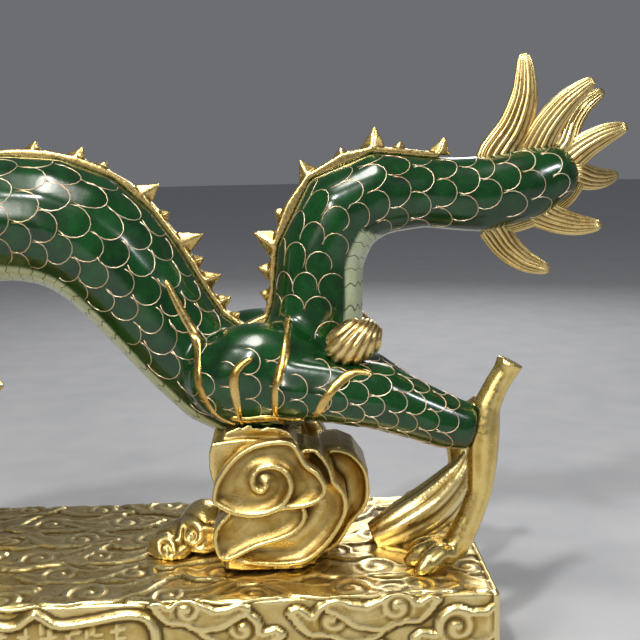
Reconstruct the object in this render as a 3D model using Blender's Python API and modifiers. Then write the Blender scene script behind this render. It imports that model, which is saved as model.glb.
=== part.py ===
"""Cloisonne dragon on its gilt plinth: the solid pieces.

The dragon walks towards -X with its body arched twice; +Z is up and the
origin is the middle of the plinth's underside. All sizes are in metres.
"""

import math

import bmesh
import bpy
from mathutils import Matrix, Vector
from mathutils.bvhtree import BVHTree

# Gap between pieces that meet
CLEARANCE = 0.0003

# Plinth: a block with cloud relief on every side but the underside
PLINTH_LENGTH = 0.355
PLINTH_DEPTH = 0.120
PLINTH_HEIGHT = 0.042
PLINTH_EDGE = 0.0035
SIDE_RELIEF = 0.0020
TOP_RELIEF = 0.0012

# The dragon is drawn above the plinth: its heights start at the plinth's top.
# Body centre line from the neck to the tail end: x, height, radius
BODY_LINE = (
    (-0.1900, 0.1610, 0.0150),
    (-0.1810, 0.1420, 0.0175),
    (-0.1710, 0.1180, 0.0190),
    (-0.1560, 0.0950, 0.0210),
    (-0.1300, 0.0770, 0.0235),
    (-0.1040, 0.0850, 0.0215),
    (-0.0820, 0.1060, 0.0215),
    (-0.0540, 0.1300, 0.0240),
    (-0.0150, 0.1410, 0.0255),
    (0.0150, 0.1340, 0.0262),
    (0.0350, 0.1135, 0.0240),
    (0.0560, 0.0850, 0.0208),
    (0.0800, 0.0685, 0.0235),
    (0.1020, 0.0780, 0.0215),
    (0.1105, 0.1000, 0.0190),
    (0.1120, 0.1230, 0.0183),
    (0.1210, 0.1410, 0.0186),
    (0.1370, 0.1480, 0.0170),
    (0.1560, 0.1478, 0.0143),
    (0.1790, 0.1465, 0.0156),
    (0.1990, 0.1508, 0.0150),
    (0.2120, 0.1565, 0.0115),
    (0.2165, 0.1588, 0.0060),
)
BODY_SIDES = 14
BODY_STEP = 0.015

# Thigh: middle and half sizes, then the shank's x, y, z, radius from it
THIGH_PLACE = (0.0860, 0.0200, 0.0770)
THIGH_HALF = (0.0310, 0.0175, 0.0215)
SHANK_LINE = (
    (0.0960, 0.0250, 0.0745, 0.0150),
    (0.1160, 0.0290, 0.0725, 0.0140),
    (0.1340, 0.0315, 0.0695, 0.0135),
    (0.1470, 0.0320, 0.0640, 0.0118),
    (0.1590, 0.0320, 0.0588, 0.0110),
    (0.1700, 0.0320, 0.0560, 0.0094),
)

# Gilt lower leg from the cut stub above the hock to the heel
LOWER_LEG_LINE = (
    (0.1850, 0.0320, 0.0825, 0.0056),
    (0.1830, 0.0320, 0.0785, 0.0048),
    (0.1795, 0.0320, 0.0730, 0.0048),
    (0.1758, 0.0320, 0.0650, 0.0054),
    (0.1743, 0.0320, 0.0545, 0.0067),
    (0.1739, 0.0320, 0.0425, 0.0062),
    (0.1730, 0.0320, 0.0300, 0.0050),
    (0.1695, 0.0320, 0.0200, 0.0051),
    (0.1655, 0.0320, 0.0115, 0.0056),
    (0.1615, 0.0320, 0.0045, 0.0052),
)
TOE_LENGTH = 0.0190
TOE_RADIUS = 0.0040
TOE_ANGLES = (-33.0, -2.0, 28.0)
TOE_ARCH = 0.0035
TOE_SPREAD = 0.0040
TOE_SINK = 0.0007
TOE_TIP_SHARE = 0.5

# The fore legs repeat the hind legs this far forward
FORE_SHIFT = -0.2190

# Each leg: name, side, shift in x, drop of the hock, shift of the foot,
# and the height of its stub as a share of the near hind one
LEGS = (
    ("hind_leg_near", -1, 0.0, 0.0, 0.0, 1.0),
    ("hind_leg_far", 1, 0.0, 0.0140, 0.0040, 0.30),
    ("front_leg_near", -1, FORE_SHIFT, 0.0, -0.0180, 1.0),
    ("front_leg_far", 1, FORE_SHIFT, 0.0100, 0.0060, 0.80),
)

# Raised gilt bands over a thigh, drawn in side view as x, z
BAND_LINES = (
    ((0.0500, 0.1160), (0.0565, 0.1020), (0.0617, 0.0913), (0.0627, 0.0752), (0.0690, 0.0630), (0.0765, 0.0590)),
    ((0.0840, 0.0870), (0.0768, 0.0820), (0.0772, 0.0700), (0.0790, 0.0590)),
    ((0.0980, 0.1000), (0.0965, 0.0870), (0.0928, 0.0770), (0.0922, 0.0640), (0.0950, 0.0590)),
    ((0.1390, 0.0730), (0.1310, 0.0795), (0.1227, 0.0815), (0.1135, 0.0745), (0.1085, 0.0650), (0.1035, 0.0590)),
    ((0.0765, 0.0590), (0.0820, 0.0575), (0.0890, 0.0600), (0.0950, 0.0580), (0.1035, 0.0585)),
)
BAND_RADIUS = 0.0015
# Bands that each thigh carries: the side that shows has them all
HIND_NEAR_BANDS = (0, 1, 2, 3, 4)
OTHER_BANDS = (0,)

# Ridge along the back: a low roof half sunk in it
RIDGE_RADIUS = 0.0036
RIDGE_SINK = 0.0008
RIDGE_START = 0.020
RIDGE_END_X = 0.1700
# Fins of the front half: distance between them, large and small height
FIN_FIRST = 0.0305
FIN_PITCH = 0.0200
FIN_LARGE = 0.0085
FIN_SMALL = 0.0045
SMALL_FIN_X = -0.0300
# Fins from the hump to the tail: distance from the neck's end, height
HIND_FINS = (
    (0.2503, 0.0045), (0.2615, 0.0058), (0.2711, 0.0035), (0.2806, 0.0085), (0.2900, 0.0040),
    (0.3015, 0.0100), (0.3105, 0.0048), (0.3195, 0.0075), (0.3310, 0.0062), (0.3450, 0.0040),
    (0.4200, 0.0050), (0.4310, 0.0062), (0.4410, 0.0100), (0.4500, 0.0046), (0.4585, 0.0072),
    (0.4675, 0.0036), (0.4776, 0.0092), (0.4865, 0.0036), (0.4994, 0.0078),
)
# Share of a fin's height in its half length, half width and lean, and the
# least half length and half width
FIN_LENGTH_SHARE = 0.34
FIN_WIDTH_SHARE = 0.12
FIN_LEAN_SHARE = 0.35
FIN_HALF_LENGTH = 0.0026
FIN_HALF_WIDTH = 0.0018

# Tail tuft: root x, z; tip x, z; half width; bow to the right of the line
TUFT_LOCKS = (
    ((0.1850, 0.1620), (0.1962, 0.2030), 0.0062, 0.0050),
    ((0.2010, 0.1640), (0.2233, 0.1915), 0.0056, -0.0030),
    ((0.2120, 0.1660), (0.2303, 0.1875), 0.0050, -0.0035),
    ((0.2160, 0.1610), (0.2380, 0.1730), 0.0050, -0.0015),
    ((0.2170, 0.1545), (0.2372, 0.1533), 0.0048, 0.0020),
    ((0.2090, 0.1430), (0.2285, 0.1340), 0.0046, 0.0020),
    ((0.1840, 0.1325), (0.2078, 0.1146), 0.0052, 0.0035),
)
TUFT_LEAN = (0.0, -0.006, 0.005, -0.004, 0.006, -0.006, 0.0)
TUFT_ROOT_RADIUS = 0.0030
TUFT_ROOT_X = 0.1830
LOCK_FLAT = 0.62

# Shell-shaped knot of hair above each knee
KNOT_PLACE = (0.1235, 0.0330, 0.0920)
KNOT_HALF = (0.0118, 0.0085, 0.0088)
KNOT_TURN = 22.0

# Cloud support under the hips: its plates as x, z above the plinth
CLOUD_FRONT = ((0.0678, 0.0321), (0.0690, 0.0389), (0.0732, 0.0456), (0.0792, 0.0513), (0.0868, 0.0545),
               (0.0981, 0.0544), (0.1033, 0.0459), (0.1082, 0.0417), (0.1108, 0.0360), (0.1080, 0.0316),
               (0.1022, 0.0294), (0.0936, 0.0288), (0.0858, 0.0263), (0.0757, 0.0272))
CLOUD_MIDDLE = ((0.0716, 0.0241), (0.0683, 0.0201), (0.0676, 0.0136), (0.0711, 0.0075), (0.0830, 0.0125),
                (0.0925, 0.0153), (0.0988, 0.0183), (0.1026, 0.0235), (0.1014, 0.0285), (0.0936, 0.0320),
                (0.0800, 0.0320))
CLOUD_SWEEP = ((0.0720, 0.0020), (0.0850, -0.0010), (0.1001, 0.0005), (0.1075, 0.0055), (0.1125, 0.0120),
               (0.1170, 0.0191), (0.1191, 0.0249), (0.1182, 0.0315), (0.1143, 0.0361), (0.1128, 0.0415),
               (0.1090, 0.0473), (0.1035, 0.0492), (0.0820, 0.0400))
CLOUD_BACK = ((0.0980, -0.0010), (0.1140, 0.0030), (0.1221, 0.0140), (0.1268, 0.0191), (0.1289, 0.0250),
              (0.1282, 0.0348), (0.1233, 0.0417), (0.1176, 0.0442), (0.1100, 0.0438), (0.1000, 0.0400))
CLOUD_TOP = ((0.0668, 0.0525), (0.0648, 0.0460), (0.0664, 0.0370), (0.0710, 0.0285), (0.0950, 0.0300),
             (0.1012, 0.0450), (0.0930, 0.0532), (0.0790, 0.0538))
CLOUD_CORE = ((0.0700, -0.0010), (0.1060, -0.0010), (0.1075, 0.0300), (0.0970, 0.0560), (0.0720, 0.0560),
              (0.0690, 0.0300))
# Each plate: outline, nearest y, farthest y, width of its soft edge
CLOUD_PLATES = (
    (CLOUD_MIDDLE, -0.0400, -0.0280, 0.0014),
    (CLOUD_SWEEP, -0.0345, -0.0120, 0.0014),
    (CLOUD_BACK, -0.0180, 0.0140, 0.0014),
    (CLOUD_TOP, -0.0322, 0.0220, 0.0),
    (CLOUD_CORE, -0.0300, 0.0190, 0.0),
    (CLOUD_SWEEP, 0.0170, 0.0300, 0.0014),
)
# The front sheet: nearest y, farthest y, width of its soft edge
FRONT_NEAR = -0.0430
FRONT_FAR = -0.0360
FRONT_EDGE = 0.0012
# Its rolled edge turns up from the lower rim into a spiral: x, z
SPIRAL_LINE = ((0.0940, 0.0312), (0.0974, 0.0360), (0.0968, 0.0413), (0.0940, 0.0446), (0.0896, 0.0458),
               (0.0850, 0.0444), (0.0827, 0.0409), (0.0837, 0.0370), (0.0866, 0.0358), (0.0884, 0.0384))
SPIRAL_RADIUS = 0.0013

# Domed clouds beside the support: x, y, height of the middle, half sizes
MOUNDS = (
    ((0.0600, 0.0020, 0.0010), (0.0130, 0.0180, 0.0180)),
    ((0.0475, -0.0040, 0.0000), (0.0110, 0.0150, 0.0110)),
)
# Wave that rises from the plinth: x, y, height, radius
WAVE_LINE = (
    (0.1330, 0.0000, 0.0000, 0.0070),
    (0.1460, 0.0000, 0.0060, 0.0100),
    (0.1600, 0.0020, 0.0140, 0.0105),
    (0.1710, 0.0030, 0.0260, 0.0075),
    (0.1750, 0.0030, 0.0360, 0.0026),
)

# Cartouche on the front of the plinth
CARTOUCHE_HALF = 0.0500
CARTOUCHE_BASE = 0.0070
CARTOUCHE_TOP = 0.0340
CARTOUCHE_PEAK = 0.0385
CARTOUCHE_RIM = 0.0032
CARTOUCHE_CORNER = 0.0050

# Head: drawn in a frame of its own, enlarged about its nape and set on the
# neck's end, this far back from it and above it
HEAD_NAPE = (-0.1880, 0.0, 0.2060)
HEAD_SCALE = 1.18
NAPE_BACK = 0.0020
NAPE_RISE = 0.0030

# Ruyi cloud of the relief: radius of its plate, points of its outline
CLOUD_RADIUS = 0.0125
RUYI_POINTS = 10

for old in list(bpy.data.objects):
    bpy.data.objects.remove(old, do_unlink=True)

PARTS = bpy.data.collections.new("cloisonne_dragon")
CUTTERS = bpy.data.collections.new("cutters")
bpy.context.scene.collection.children.link(PARTS)
bpy.context.scene.collection.children.link(CUTTERS)


def material(name, colour, metallic, roughness):
    """Principled material with one colour."""
    made = bpy.data.materials.new(name)
    made.use_nodes = True
    shader = made.node_tree.nodes["Principled BSDF"]
    shader.inputs["Base Color"].default_value = (*colour, 1.0)
    shader.inputs["Metallic"].default_value = metallic
    shader.inputs["Roughness"].default_value = roughness
    return made


GILT = material("gilt_metal", (0.62, 0.42, 0.13), 1.0, 0.35)
ENAMEL = material("green_enamel", (0.01, 0.14, 0.04), 0.0, 0.12)


def smooth_line(keys, step, closed=False):
    """Points on a smooth line through the keys, about one step apart."""
    count = len(keys)
    points = []
    spans = count if closed else count - 1
    for i in range(spans):
        if closed:
            four = [keys[(i + k - 1) % count] for k in range(4)]
        else:
            four = [keys[min(max(i + k - 1, 0), count - 1)] for k in range(4)]
        pieces = max(1, round(math.dist(four[1][:3], four[2][:3]) / step))
        for k in range(pieces):
            t = k / pieces
            points.append(tuple(
                0.5 * (2 * b + (c - a) * t + (2 * a - 5 * b + 4 * c - d) * t * t + (3 * b - a - 3 * c + d) * t ** 3)
                for a, b, c, d in zip(*four)))
    if not closed:
        points.append(tuple(keys[-1]))
    return points


def made_mesh(curve_object):
    """The curve object's surface as a closed mesh object in its place."""
    bpy.context.view_layer.update()
    graph = bpy.context.evaluated_depsgraph_get()
    mesh = bpy.data.meshes.new_from_object(curve_object.evaluated_get(graph))
    work = bmesh.new()
    work.from_mesh(mesh)
    bmesh.ops.remove_doubles(work, verts=work.verts, dist=0.00001)
    bmesh.ops.recalc_face_normals(work, faces=work.faces)
    work.to_mesh(mesh)
    work.free()
    solid = bpy.data.objects.new(curve_object.name + "_solid", mesh)
    solid.matrix_world = curve_object.matrix_world
    CUTTERS.objects.link(solid)
    bpy.data.objects.remove(curve_object, do_unlink=True)
    return solid


def tube(name, keys, sides, step, tilt=0.0):
    """Round tube along keys of x, y, z, radius, with flat ends."""
    curve = bpy.data.curves.new(name, "CURVE")
    curve.dimensions = "3D"
    curve.bevel_depth = 1.0
    curve.bevel_resolution = (sides - 4) // 2
    curve.use_fill_caps = True
    points = smooth_line(keys, step)
    spline = curve.splines.new("POLY")
    spline.points.add(len(points) - 1)
    for point, (x, y, z, radius) in zip(spline.points, points):
        point.co = (x, y, z, 1.0)
        point.radius = radius
        point.tilt = tilt
    holder = bpy.data.objects.new(name, curve)
    CUTTERS.objects.link(holder)
    return made_mesh(holder)


def plate(name, outline, y_near, y_far, step=0.005, edge=0.0):
    """Upright plate with the outline given as x, z."""
    curve = bpy.data.curves.new(name, "CURVE")
    curve.dimensions = "2D"
    curve.fill_mode = "BOTH"
    curve.extrude = (y_far - y_near) / 2 - edge
    curve.bevel_depth = edge
    curve.bevel_resolution = 0
    points = smooth_line(outline, step, closed=True)
    spline = curve.splines.new("POLY")
    spline.points.add(len(points) - 1)
    for point, (x, z) in zip(spline.points, points):
        point.co = (x, z, 0.0, 1.0)
    spline.use_cyclic_u = True
    holder = bpy.data.objects.new(name, curve)
    holder.location = (0.0, (y_near + y_far) / 2, 0.0)
    holder.rotation_euler = (math.pi / 2, 0.0, 0.0)
    CUTTERS.objects.link(holder)
    return made_mesh(holder)


def adopt(solid):
    """Keep a new primitive among the cutters only."""
    for group in list(solid.users_collection):
        group.objects.unlink(solid)
    CUTTERS.objects.link(solid)
    return solid


def ellipsoid(name, place, half, segments=12, rings=8, turn=0.0):
    """Ball stretched to half sizes along x, y, z and turned about y."""
    bpy.ops.mesh.primitive_uv_sphere_add(segments=segments, ring_count=rings, radius=1.0, location=place,
                                         rotation=(0.0, math.radians(turn), 0.0), scale=half)
    solid = bpy.context.object
    solid.name = name
    return adopt(solid)


def box(name, low, high):
    """Box between two corners."""
    middle = [(a + b) / 2 for a, b in zip(low, high)]
    size = [b - a for a, b in zip(low, high)]
    bpy.ops.mesh.primitive_cube_add(size=1.0, location=middle, scale=size)
    solid = bpy.context.object
    solid.name = name
    return adopt(solid)


def cut_or_join(piece, tool, operation, crossing=False):
    """Boolean between a piece and one other solid, kept as a mesh."""
    modifier = piece.modifiers.new("boolean", "BOOLEAN")
    modifier.operation = operation
    modifier.object = tool
    modifier.solver = "EXACT"
    modifier.use_self = crossing
    bpy.context.view_layer.update()
    graph = bpy.context.evaluated_depsgraph_get()
    piece.data = bpy.data.meshes.new_from_object(piece.evaluated_get(graph))
    piece.modifiers.clear()


def join_all(base, tools):
    """Join solids to the base one after the other."""
    for tool in tools:
        cut_or_join(base, tool, "UNION")
        bpy.data.objects.remove(tool, do_unlink=True)


def keep_largest(solid):
    """Merge coincident points and drop slivers beside the main shell."""
    work = bmesh.new()
    work.from_mesh(solid.data)
    bmesh.ops.remove_doubles(work, verts=work.verts, dist=0.000002)
    bmesh.ops.dissolve_degenerate(work, edges=work.edges, dist=0.000002)
    left = set(work.verts)
    shells = []
    while left:
        shell = []
        queue = [left.pop()]
        while queue:
            vertex = queue.pop()
            shell.append(vertex)
            for edge in vertex.link_edges:
                other = edge.other_vert(vertex)
                if other in left:
                    left.remove(other)
                    queue.append(other)
        shells.append(shell)
    shells.sort(key=len)
    for shell in shells[:-1]:
        bmesh.ops.delete(work, geom=shell, context="VERTS")
    work.to_mesh(solid.data)
    work.free()


def finish_piece(solid, name, look):
    """Name a finished piece, give it its material and show it."""
    keep_largest(solid)
    for owner in list(solid.users_collection):
        owner.objects.unlink(solid)
    PARTS.objects.link(solid)
    solid.name = name
    solid.data.name = name
    solid.data.materials.clear()
    solid.data.materials.append(look)
    solid.data.shade_smooth()


def leg_keys(keys, side, shift, drop, foot_shift):
    """Leg line moved to its side and shift, lowered towards the hock."""
    moved = []
    hock_x = SHANK_LINE[-1][0]
    thigh_x = SHANK_LINE[0][0]
    for x, y, z, radius in keys:
        far = min(max((x - thigh_x) / (hock_x - thigh_x), 0.0), 1.0)
        low = min(max(z / SHANK_LINE[-1][2], 0.0), 1.0)
        moved.append((x + shift + foot_shift * (1.0 - low), side * y, z - drop * far * low, radius))
    return moved


def lengthened(line, grow):
    """The line with both its ends moved outwards by grow."""
    ends = []
    for end, inner in ((line[0], line[1]), (line[-1], line[-2])):
        away = (Vector(end[:3]) - Vector(inner[:3])).normalized() * grow
        ends.append((*(Vector(end[:3]) + away), end[3]))
    return [ends[0], *line[1:-1], ends[1]]


def body_form(name, grow):
    """Body, thighs and shanks, thicker by grow all over."""
    line = [(x, 0.0, z, radius + grow) for x, z, radius in BODY_LINE]
    body = tube(name, lengthened(line, grow), BODY_SIDES, BODY_STEP)
    limbs = []
    for leg, side, shift, drop, foot_shift, stub in LEGS:
        x, y, z = THIGH_PLACE
        half = [size + grow for size in THIGH_HALF]
        limbs.append(ellipsoid(leg + "_thigh", (x + shift, side * y, z), half, 12, 7))
        shank = [(a, b, c, r + grow) for a, b, c, r in leg_keys(SHANK_LINE, side, shift, drop, 0.0)]
        limbs.append(tube(leg + "_shank", lengthened(shank, grow), 8, 0.018))
    join_all(body, limbs)
    join_all(body, side_bands(body, BAND_RADIUS + 3 * grow))
    return body


def side_bands(body, band_radius):
    """Raised bands laid on the thighs, from their side view."""
    bpy.context.view_layer.update()
    tree = BVHTree.FromObject(body, bpy.context.evaluated_depsgraph_get())
    bands = []
    for leg, side, shift, drop, foot_shift, stub in LEGS:
        shown = HIND_NEAR_BANDS if leg == "hind_leg_near" else OTHER_BANDS
        for number, line in enumerate(BAND_LINES):
            if number not in shown:
                continue
            keys = []
            for x, z in smooth_line([(x + shift, z) for x, z in line], 0.012):
                hit = tree.ray_cast(Vector((x, side * 0.1, z)), Vector((0.0, -side, 0.0)))[0]
                if hit is not None and abs(hit.y) > 0.004:
                    keys.append((hit.x, hit.y, hit.z, band_radius))
            bands.append(tube(f"{leg}_band_{number}", keys, 4, 1.0))
    return bands


def lower_leg(name, side, shift, drop, foot_shift, stub):
    """Gilt lower leg with its toes on the plinth."""
    hock = SHANK_LINE[-1][2]
    keys = [(x, y, z if z < hock else hock + (z - hock) * stub, radius) for x, y, z, radius in LOWER_LEG_LINE]
    line = leg_keys(keys, side, shift, drop, foot_shift)
    leg = tube(name, line, 8, 0.014)
    heel = line[-1]
    toes = []
    for angle in TOE_ANGLES:
        reach = TOE_LENGTH * math.cos(math.radians(angle) * 0.6)
        ahead = Vector((-math.cos(math.radians(angle)), math.sin(math.radians(angle)), 0.0))
        start = Vector(heel[:3]) + Vector((0.0, TOE_SPREAD * math.sin(math.radians(angle)), -TOE_SINK))
        ground = TOE_RADIUS * TOE_TIP_SHARE
        keys = []
        for share, lift, size in ((0.0, 0.0, 1.0), (0.35, TOE_ARCH, 1.0), (0.7, TOE_ARCH * 0.3, 1.15), (1.0, -0.001, 0.45)):
            spot = start + ahead * reach * share
            height = start.z + (ground - start.z) * share + lift
            keys.append((spot.x, spot.y, height, TOE_RADIUS * size))
        toes.append(tube(name + "_toe", keys, 6, 1.0))
    join_all(leg, toes)
    return leg


def knot(name, side, shift, drop):
    """Shell-shaped knot of hair on the knee."""
    x, y, z = KNOT_PLACE
    return ellipsoid(name, (x + shift, side * y, z - drop * 0.4), KNOT_HALF, 9, 6, -KNOT_TURN)


def body_stations():
    """Points along the body with tangent and outward normal in the XZ plane."""
    points = [Vector((x, z, radius)) for x, z, radius in smooth_line(BODY_LINE, 0.004)]
    stations = []
    run = 0.0
    for i, point in enumerate(points):
        before = points[max(i - 1, 0)]
        after = points[min(i + 1, len(points) - 1)]
        tangent = Vector((after.x - before.x, 0.0, after.y - before.y)).normalized()
        normal = Vector((-tangent.z, 0.0, tangent.x))
        if i:
            run += (Vector((point.x, point.y)) - Vector((before.x, before.y))).length
        stations.append((run, Vector((point.x, 0.0, point.y)), tangent, normal, point.z))
    return stations


def fin(place, tangent, normal, height):
    """Pointed fin of the ridge, leaning towards the tail."""
    bpy.ops.mesh.primitive_cone_add(vertices=4, radius1=1.0, radius2=0.0, depth=1.0)
    made = bpy.context.object
    made.name = "fin"
    rise = normal * height + tangent * height * FIN_LEAN_SHARE
    along = tangent * (FIN_HALF_LENGTH + height * FIN_LENGTH_SHARE)
    across = along.cross(rise).normalized() * (FIN_HALF_WIDTH + height * FIN_WIDTH_SHARE)
    shape = Matrix((along, -across, rise)).transposed().to_4x4()
    if shape.determinant() < 0.0:
        shape = Matrix((along, across, rise)).transposed().to_4x4()
    made.data.transform(Matrix.Translation(place) @ shape @ Matrix.Translation((0.0, 0.0, 0.5)))
    return adopt(made)


def fin_places(stations):
    """Distance from the neck's end and height of every fin."""
    places = []
    run = FIN_FIRST
    number = 0
    while run < HIND_FINS[0][0] - FIN_PITCH / 4:
        place = min(stations, key=lambda s: abs(s[0] - run))[1]
        if number % 2 == 0:
            places.append((run, FIN_LARGE))
        elif place.x > SMALL_FIN_X:
            places.append((run, FIN_SMALL))
        run += FIN_PITCH / 2
        number += 1
    return places + list(HIND_FINS)


def dorsal_ridge():
    """Roof-shaped strip along the back with its fins."""
    stations = [s for s in body_stations() if s[0] > RIDGE_START and s[1].x < RIDGE_END_X]
    keys = []
    for run, place, tangent, normal, radius in stations:
        spot = place + normal * (radius - RIDGE_SINK)
        if not keys or math.dist(spot, keys[-1][:3]) > 0.0105:
            keys.append((spot.x, spot.y, spot.z, RIDGE_RADIUS))
    ridge = tube("dorsal_ridge", keys, 4, 1.0, math.pi / 4)
    fins = []
    for goal, height in fin_places(stations):
        run, place, tangent, normal, radius = min(stations, key=lambda s: abs(s[0] - goal))
        fins.append(fin(place + normal * (radius + RIDGE_RADIUS * 0.3), tangent, normal, height))
    join_all(ridge, fins)
    return ridge


def tuft_lock(name, root, tip, half_width, bow, lean):
    """Tapered lock of the tuft with a bow in the XZ plane."""
    start = Vector((root[0], 0.0, root[1]))
    end = Vector((tip[0], lean / LOCK_FLAT, tip[1]))
    side = Vector((end.z - start.z, 0.0, start.x - end.x)).normalized()
    keys = []
    for share, width in ((0.0, 0.65), (0.3, 0.95), (0.6, 1.0), (0.85, 0.62), (1.0, 0.22)):
        spot = start.lerp(end, share) + side * bow * math.sin(math.pi * share)
        keys.append((spot.x, spot.y, spot.z, half_width * width))
    lock = tube(name, keys, 6, 0.009)
    lock.scale.y = LOCK_FLAT
    return lock


def tail_tuft():
    """Flame-like locks that grow from a band over the tail end."""
    end = [s for s in body_stations() if s[1].x > TUFT_ROOT_X]
    rim = [place + normal * radius for run, place, tangent, normal, radius in end]
    rim.append(end[-1][1] + end[-1][2] * TUFT_ROOT_RADIUS)
    rim += [place - normal * radius for run, place, tangent, normal, radius in reversed(end)]
    keys = []
    for spot in rim:
        if not keys or math.dist(spot, keys[-1][:3]) > 0.006:
            keys.append((spot.x, spot.y, spot.z, TUFT_ROOT_RADIUS))
    tuft = tube("tail_tuft", keys, 6, 1.0)
    locks = []
    for number, ((root, tip, width, bow), lean) in enumerate(zip(TUFT_LOCKS, TUFT_LEAN)):
        locks.append(tuft_lock(f"lock_{number}", root, tip, width, bow, lean))
    join_all(tuft, locks)
    return tuft


def cloud_support():
    """Scrolled cloud that carries the hips."""
    support = plate("cloud_support", CLOUD_FRONT, FRONT_NEAR, FRONT_FAR, step=0.008, edge=FRONT_EDGE)
    rest = []
    for number, (outline, near, far, edge) in enumerate(CLOUD_PLATES):
        rest.append(plate(f"cloud_plate_{number}", outline, near, far, step=0.010, edge=edge))
    turns = [(x, FRONT_NEAR, z, SPIRAL_RADIUS) for x, z in SPIRAL_LINE]
    rest.append(tube("cloud_spiral", turns, 4, 0.02))
    for number, (place, half) in enumerate(MOUNDS):
        rest.append(ellipsoid(f"mound_{number}", place, half, 10, 7))
    join_all(support, rest)
    return support


def head():
    """Horned head with open jaws, mane and whiskers, facing -X."""
    skull = ellipsoid("head", (-0.1950, 0.0, 0.2130), (0.0220, 0.0160, 0.0155), 10, 7, 12.0)
    rest = []
    snout = ((-0.1980, 0.0, 0.2140, 0.0125), (-0.2130, 0.0, 0.2080, 0.0098), (-0.2250, 0.0, 0.2065, 0.0088),
             (-0.2330, 0.0, 0.2090, 0.0075), (-0.2365, 0.0, 0.2095, 0.0030))
    rest.append(tube("snout", snout, 8, 0.012))
    jaw = ((-0.1940, 0.0, 0.2030, 0.0095), (-0.2060, 0.0, 0.1940, 0.0075), (-0.2180, 0.0, 0.1885, 0.0062),
           (-0.2270, 0.0, 0.1890, 0.0040))
    rest.append(tube("jaw", jaw, 6, 0.012))
    for side in (-1, 1):
        rest.append(ellipsoid("brow", (-0.2060, side * 0.0090, 0.2225), (0.0075, 0.0042, 0.0040), 6, 5, 15.0))
        rest.append(ellipsoid("eye", (-0.2075, side * 0.0122, 0.2165), (0.0038, 0.0038, 0.0038), 6, 5))
        rest.append(ellipsoid("nostril", (-0.2300, side * 0.0058, 0.2130), (0.0050, 0.0036, 0.0042), 6, 5))
        horn = ((-0.1960, side * 0.0085, 0.2240, 0.0042), (-0.1850, side * 0.0120, 0.2360, 0.0038),
                (-0.1700, side * 0.0160, 0.2420, 0.0030), (-0.1520, side * 0.0190, 0.2440, 0.0012))
        rest.append(tube("horn", horn, 4, 1.0))
        fork = ((-0.1790, side * 0.0135, 0.2390, 0.0028), (-0.1710, side * 0.0150, 0.2480, 0.0010))
        rest.append(tube("horn_fork", fork, 4, 1.0))
        ear = ((-0.1890, side * 0.0140, 0.2190, 0.0045), (-0.1790, side * 0.0215, 0.2215, 0.0042),
               (-0.1690, side * 0.0250, 0.2250, 0.0010))
        rest.append(tube("ear", ear, 4, 1.0))
        locks = (((-0.1890, 0.0118, 0.2108), (-0.1560, 0.0270, 0.2165), 0.0050),
                 ((-0.1910, 0.0125, 0.2050), (-0.1540, 0.0290, 0.1990), 0.0052),
                 ((-0.1950, 0.0070, 0.2040), (-0.1640, 0.0260, 0.1800), 0.0048))
        for start, end, width in locks:
            keys = []
            for share, size, rise in ((0.0, 0.8, 0.0), (0.4, 1.0, 0.002), (0.75, 0.7, -0.001), (1.0, 0.2, 0.002)):
                spot = Vector(start).lerp(Vector(end), share)
                keys.append((spot.x, side * spot.y, spot.z + rise, width * size))
            rest.append(tube("mane", keys, 4, 1.0))
        whisker = ((-0.2290, side * 0.0080, 0.2080, 0.0016), (-0.2330, side * 0.0200, 0.2120, 0.0013),
                   (-0.2240, side * 0.0310, 0.2190, 0.0012), (-0.2080, side * 0.0350, 0.2170, 0.0008))
        rest.append(tube("whisker", whisker, 4, 0.009))
    for number, x in enumerate((-0.2120, -0.2020)):
        beard = ((x, 0.0, 0.1890 + number * 0.006, 0.0042), (x + 0.0060, 0.0, 0.1790 + number * 0.006, 0.0034),
                 (x + 0.0150, 0.0, 0.1720 + number * 0.006, 0.0010))
        rest.append(tube("beard", beard, 4, 0.01))
    join_all(skull, rest)
    nape = Vector(HEAD_NAPE)
    neck_x, neck_z, neck_radius = BODY_LINE[0]
    place = Vector((neck_x + NAPE_BACK, 0.0, neck_z + NAPE_RISE))
    grow = Matrix.Translation(place) @ Matrix.Scale(HEAD_SCALE, 4) @ Matrix.Translation(-nape)
    skull.matrix_world = grow @ skull.matrix_world
    return skull


def ruyi_outline(radius, lobes=3):
    """Lobed outline of a cloud head, flat side down."""
    outline = []
    for k in range(RUYI_POINTS):
        angle = 2 * math.pi * k / RUYI_POINTS
        wave = 1.0 + 0.16 * math.cos(lobes * (angle - math.pi / 2))
        outline.append((radius * wave * math.cos(angle) * 1.25, radius * wave * math.sin(angle)))
    return outline


def ruyi(name, radius, rise, frame):
    """Raised cloud head, placed by the frame matrix."""
    bpy.ops.mesh.primitive_cone_add(vertices=RUYI_POINTS, radius1=1.0, radius2=0.9, depth=2 * rise)
    cloud = bpy.context.object
    cloud.name = name
    outline = ruyi_outline(radius)
    for vertex in cloud.data.vertices:
        angle = math.atan2(vertex.co.y, vertex.co.x) % (2 * math.pi)
        number = round(angle * RUYI_POINTS / (2 * math.pi)) % RUYI_POINTS
        size = math.hypot(vertex.co.x, vertex.co.y)
        vertex.co.x = outline[number][0] * size
        vertex.co.y = outline[number][1] * size
    cloud.data.transform(frame)
    return adopt(cloud)


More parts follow.
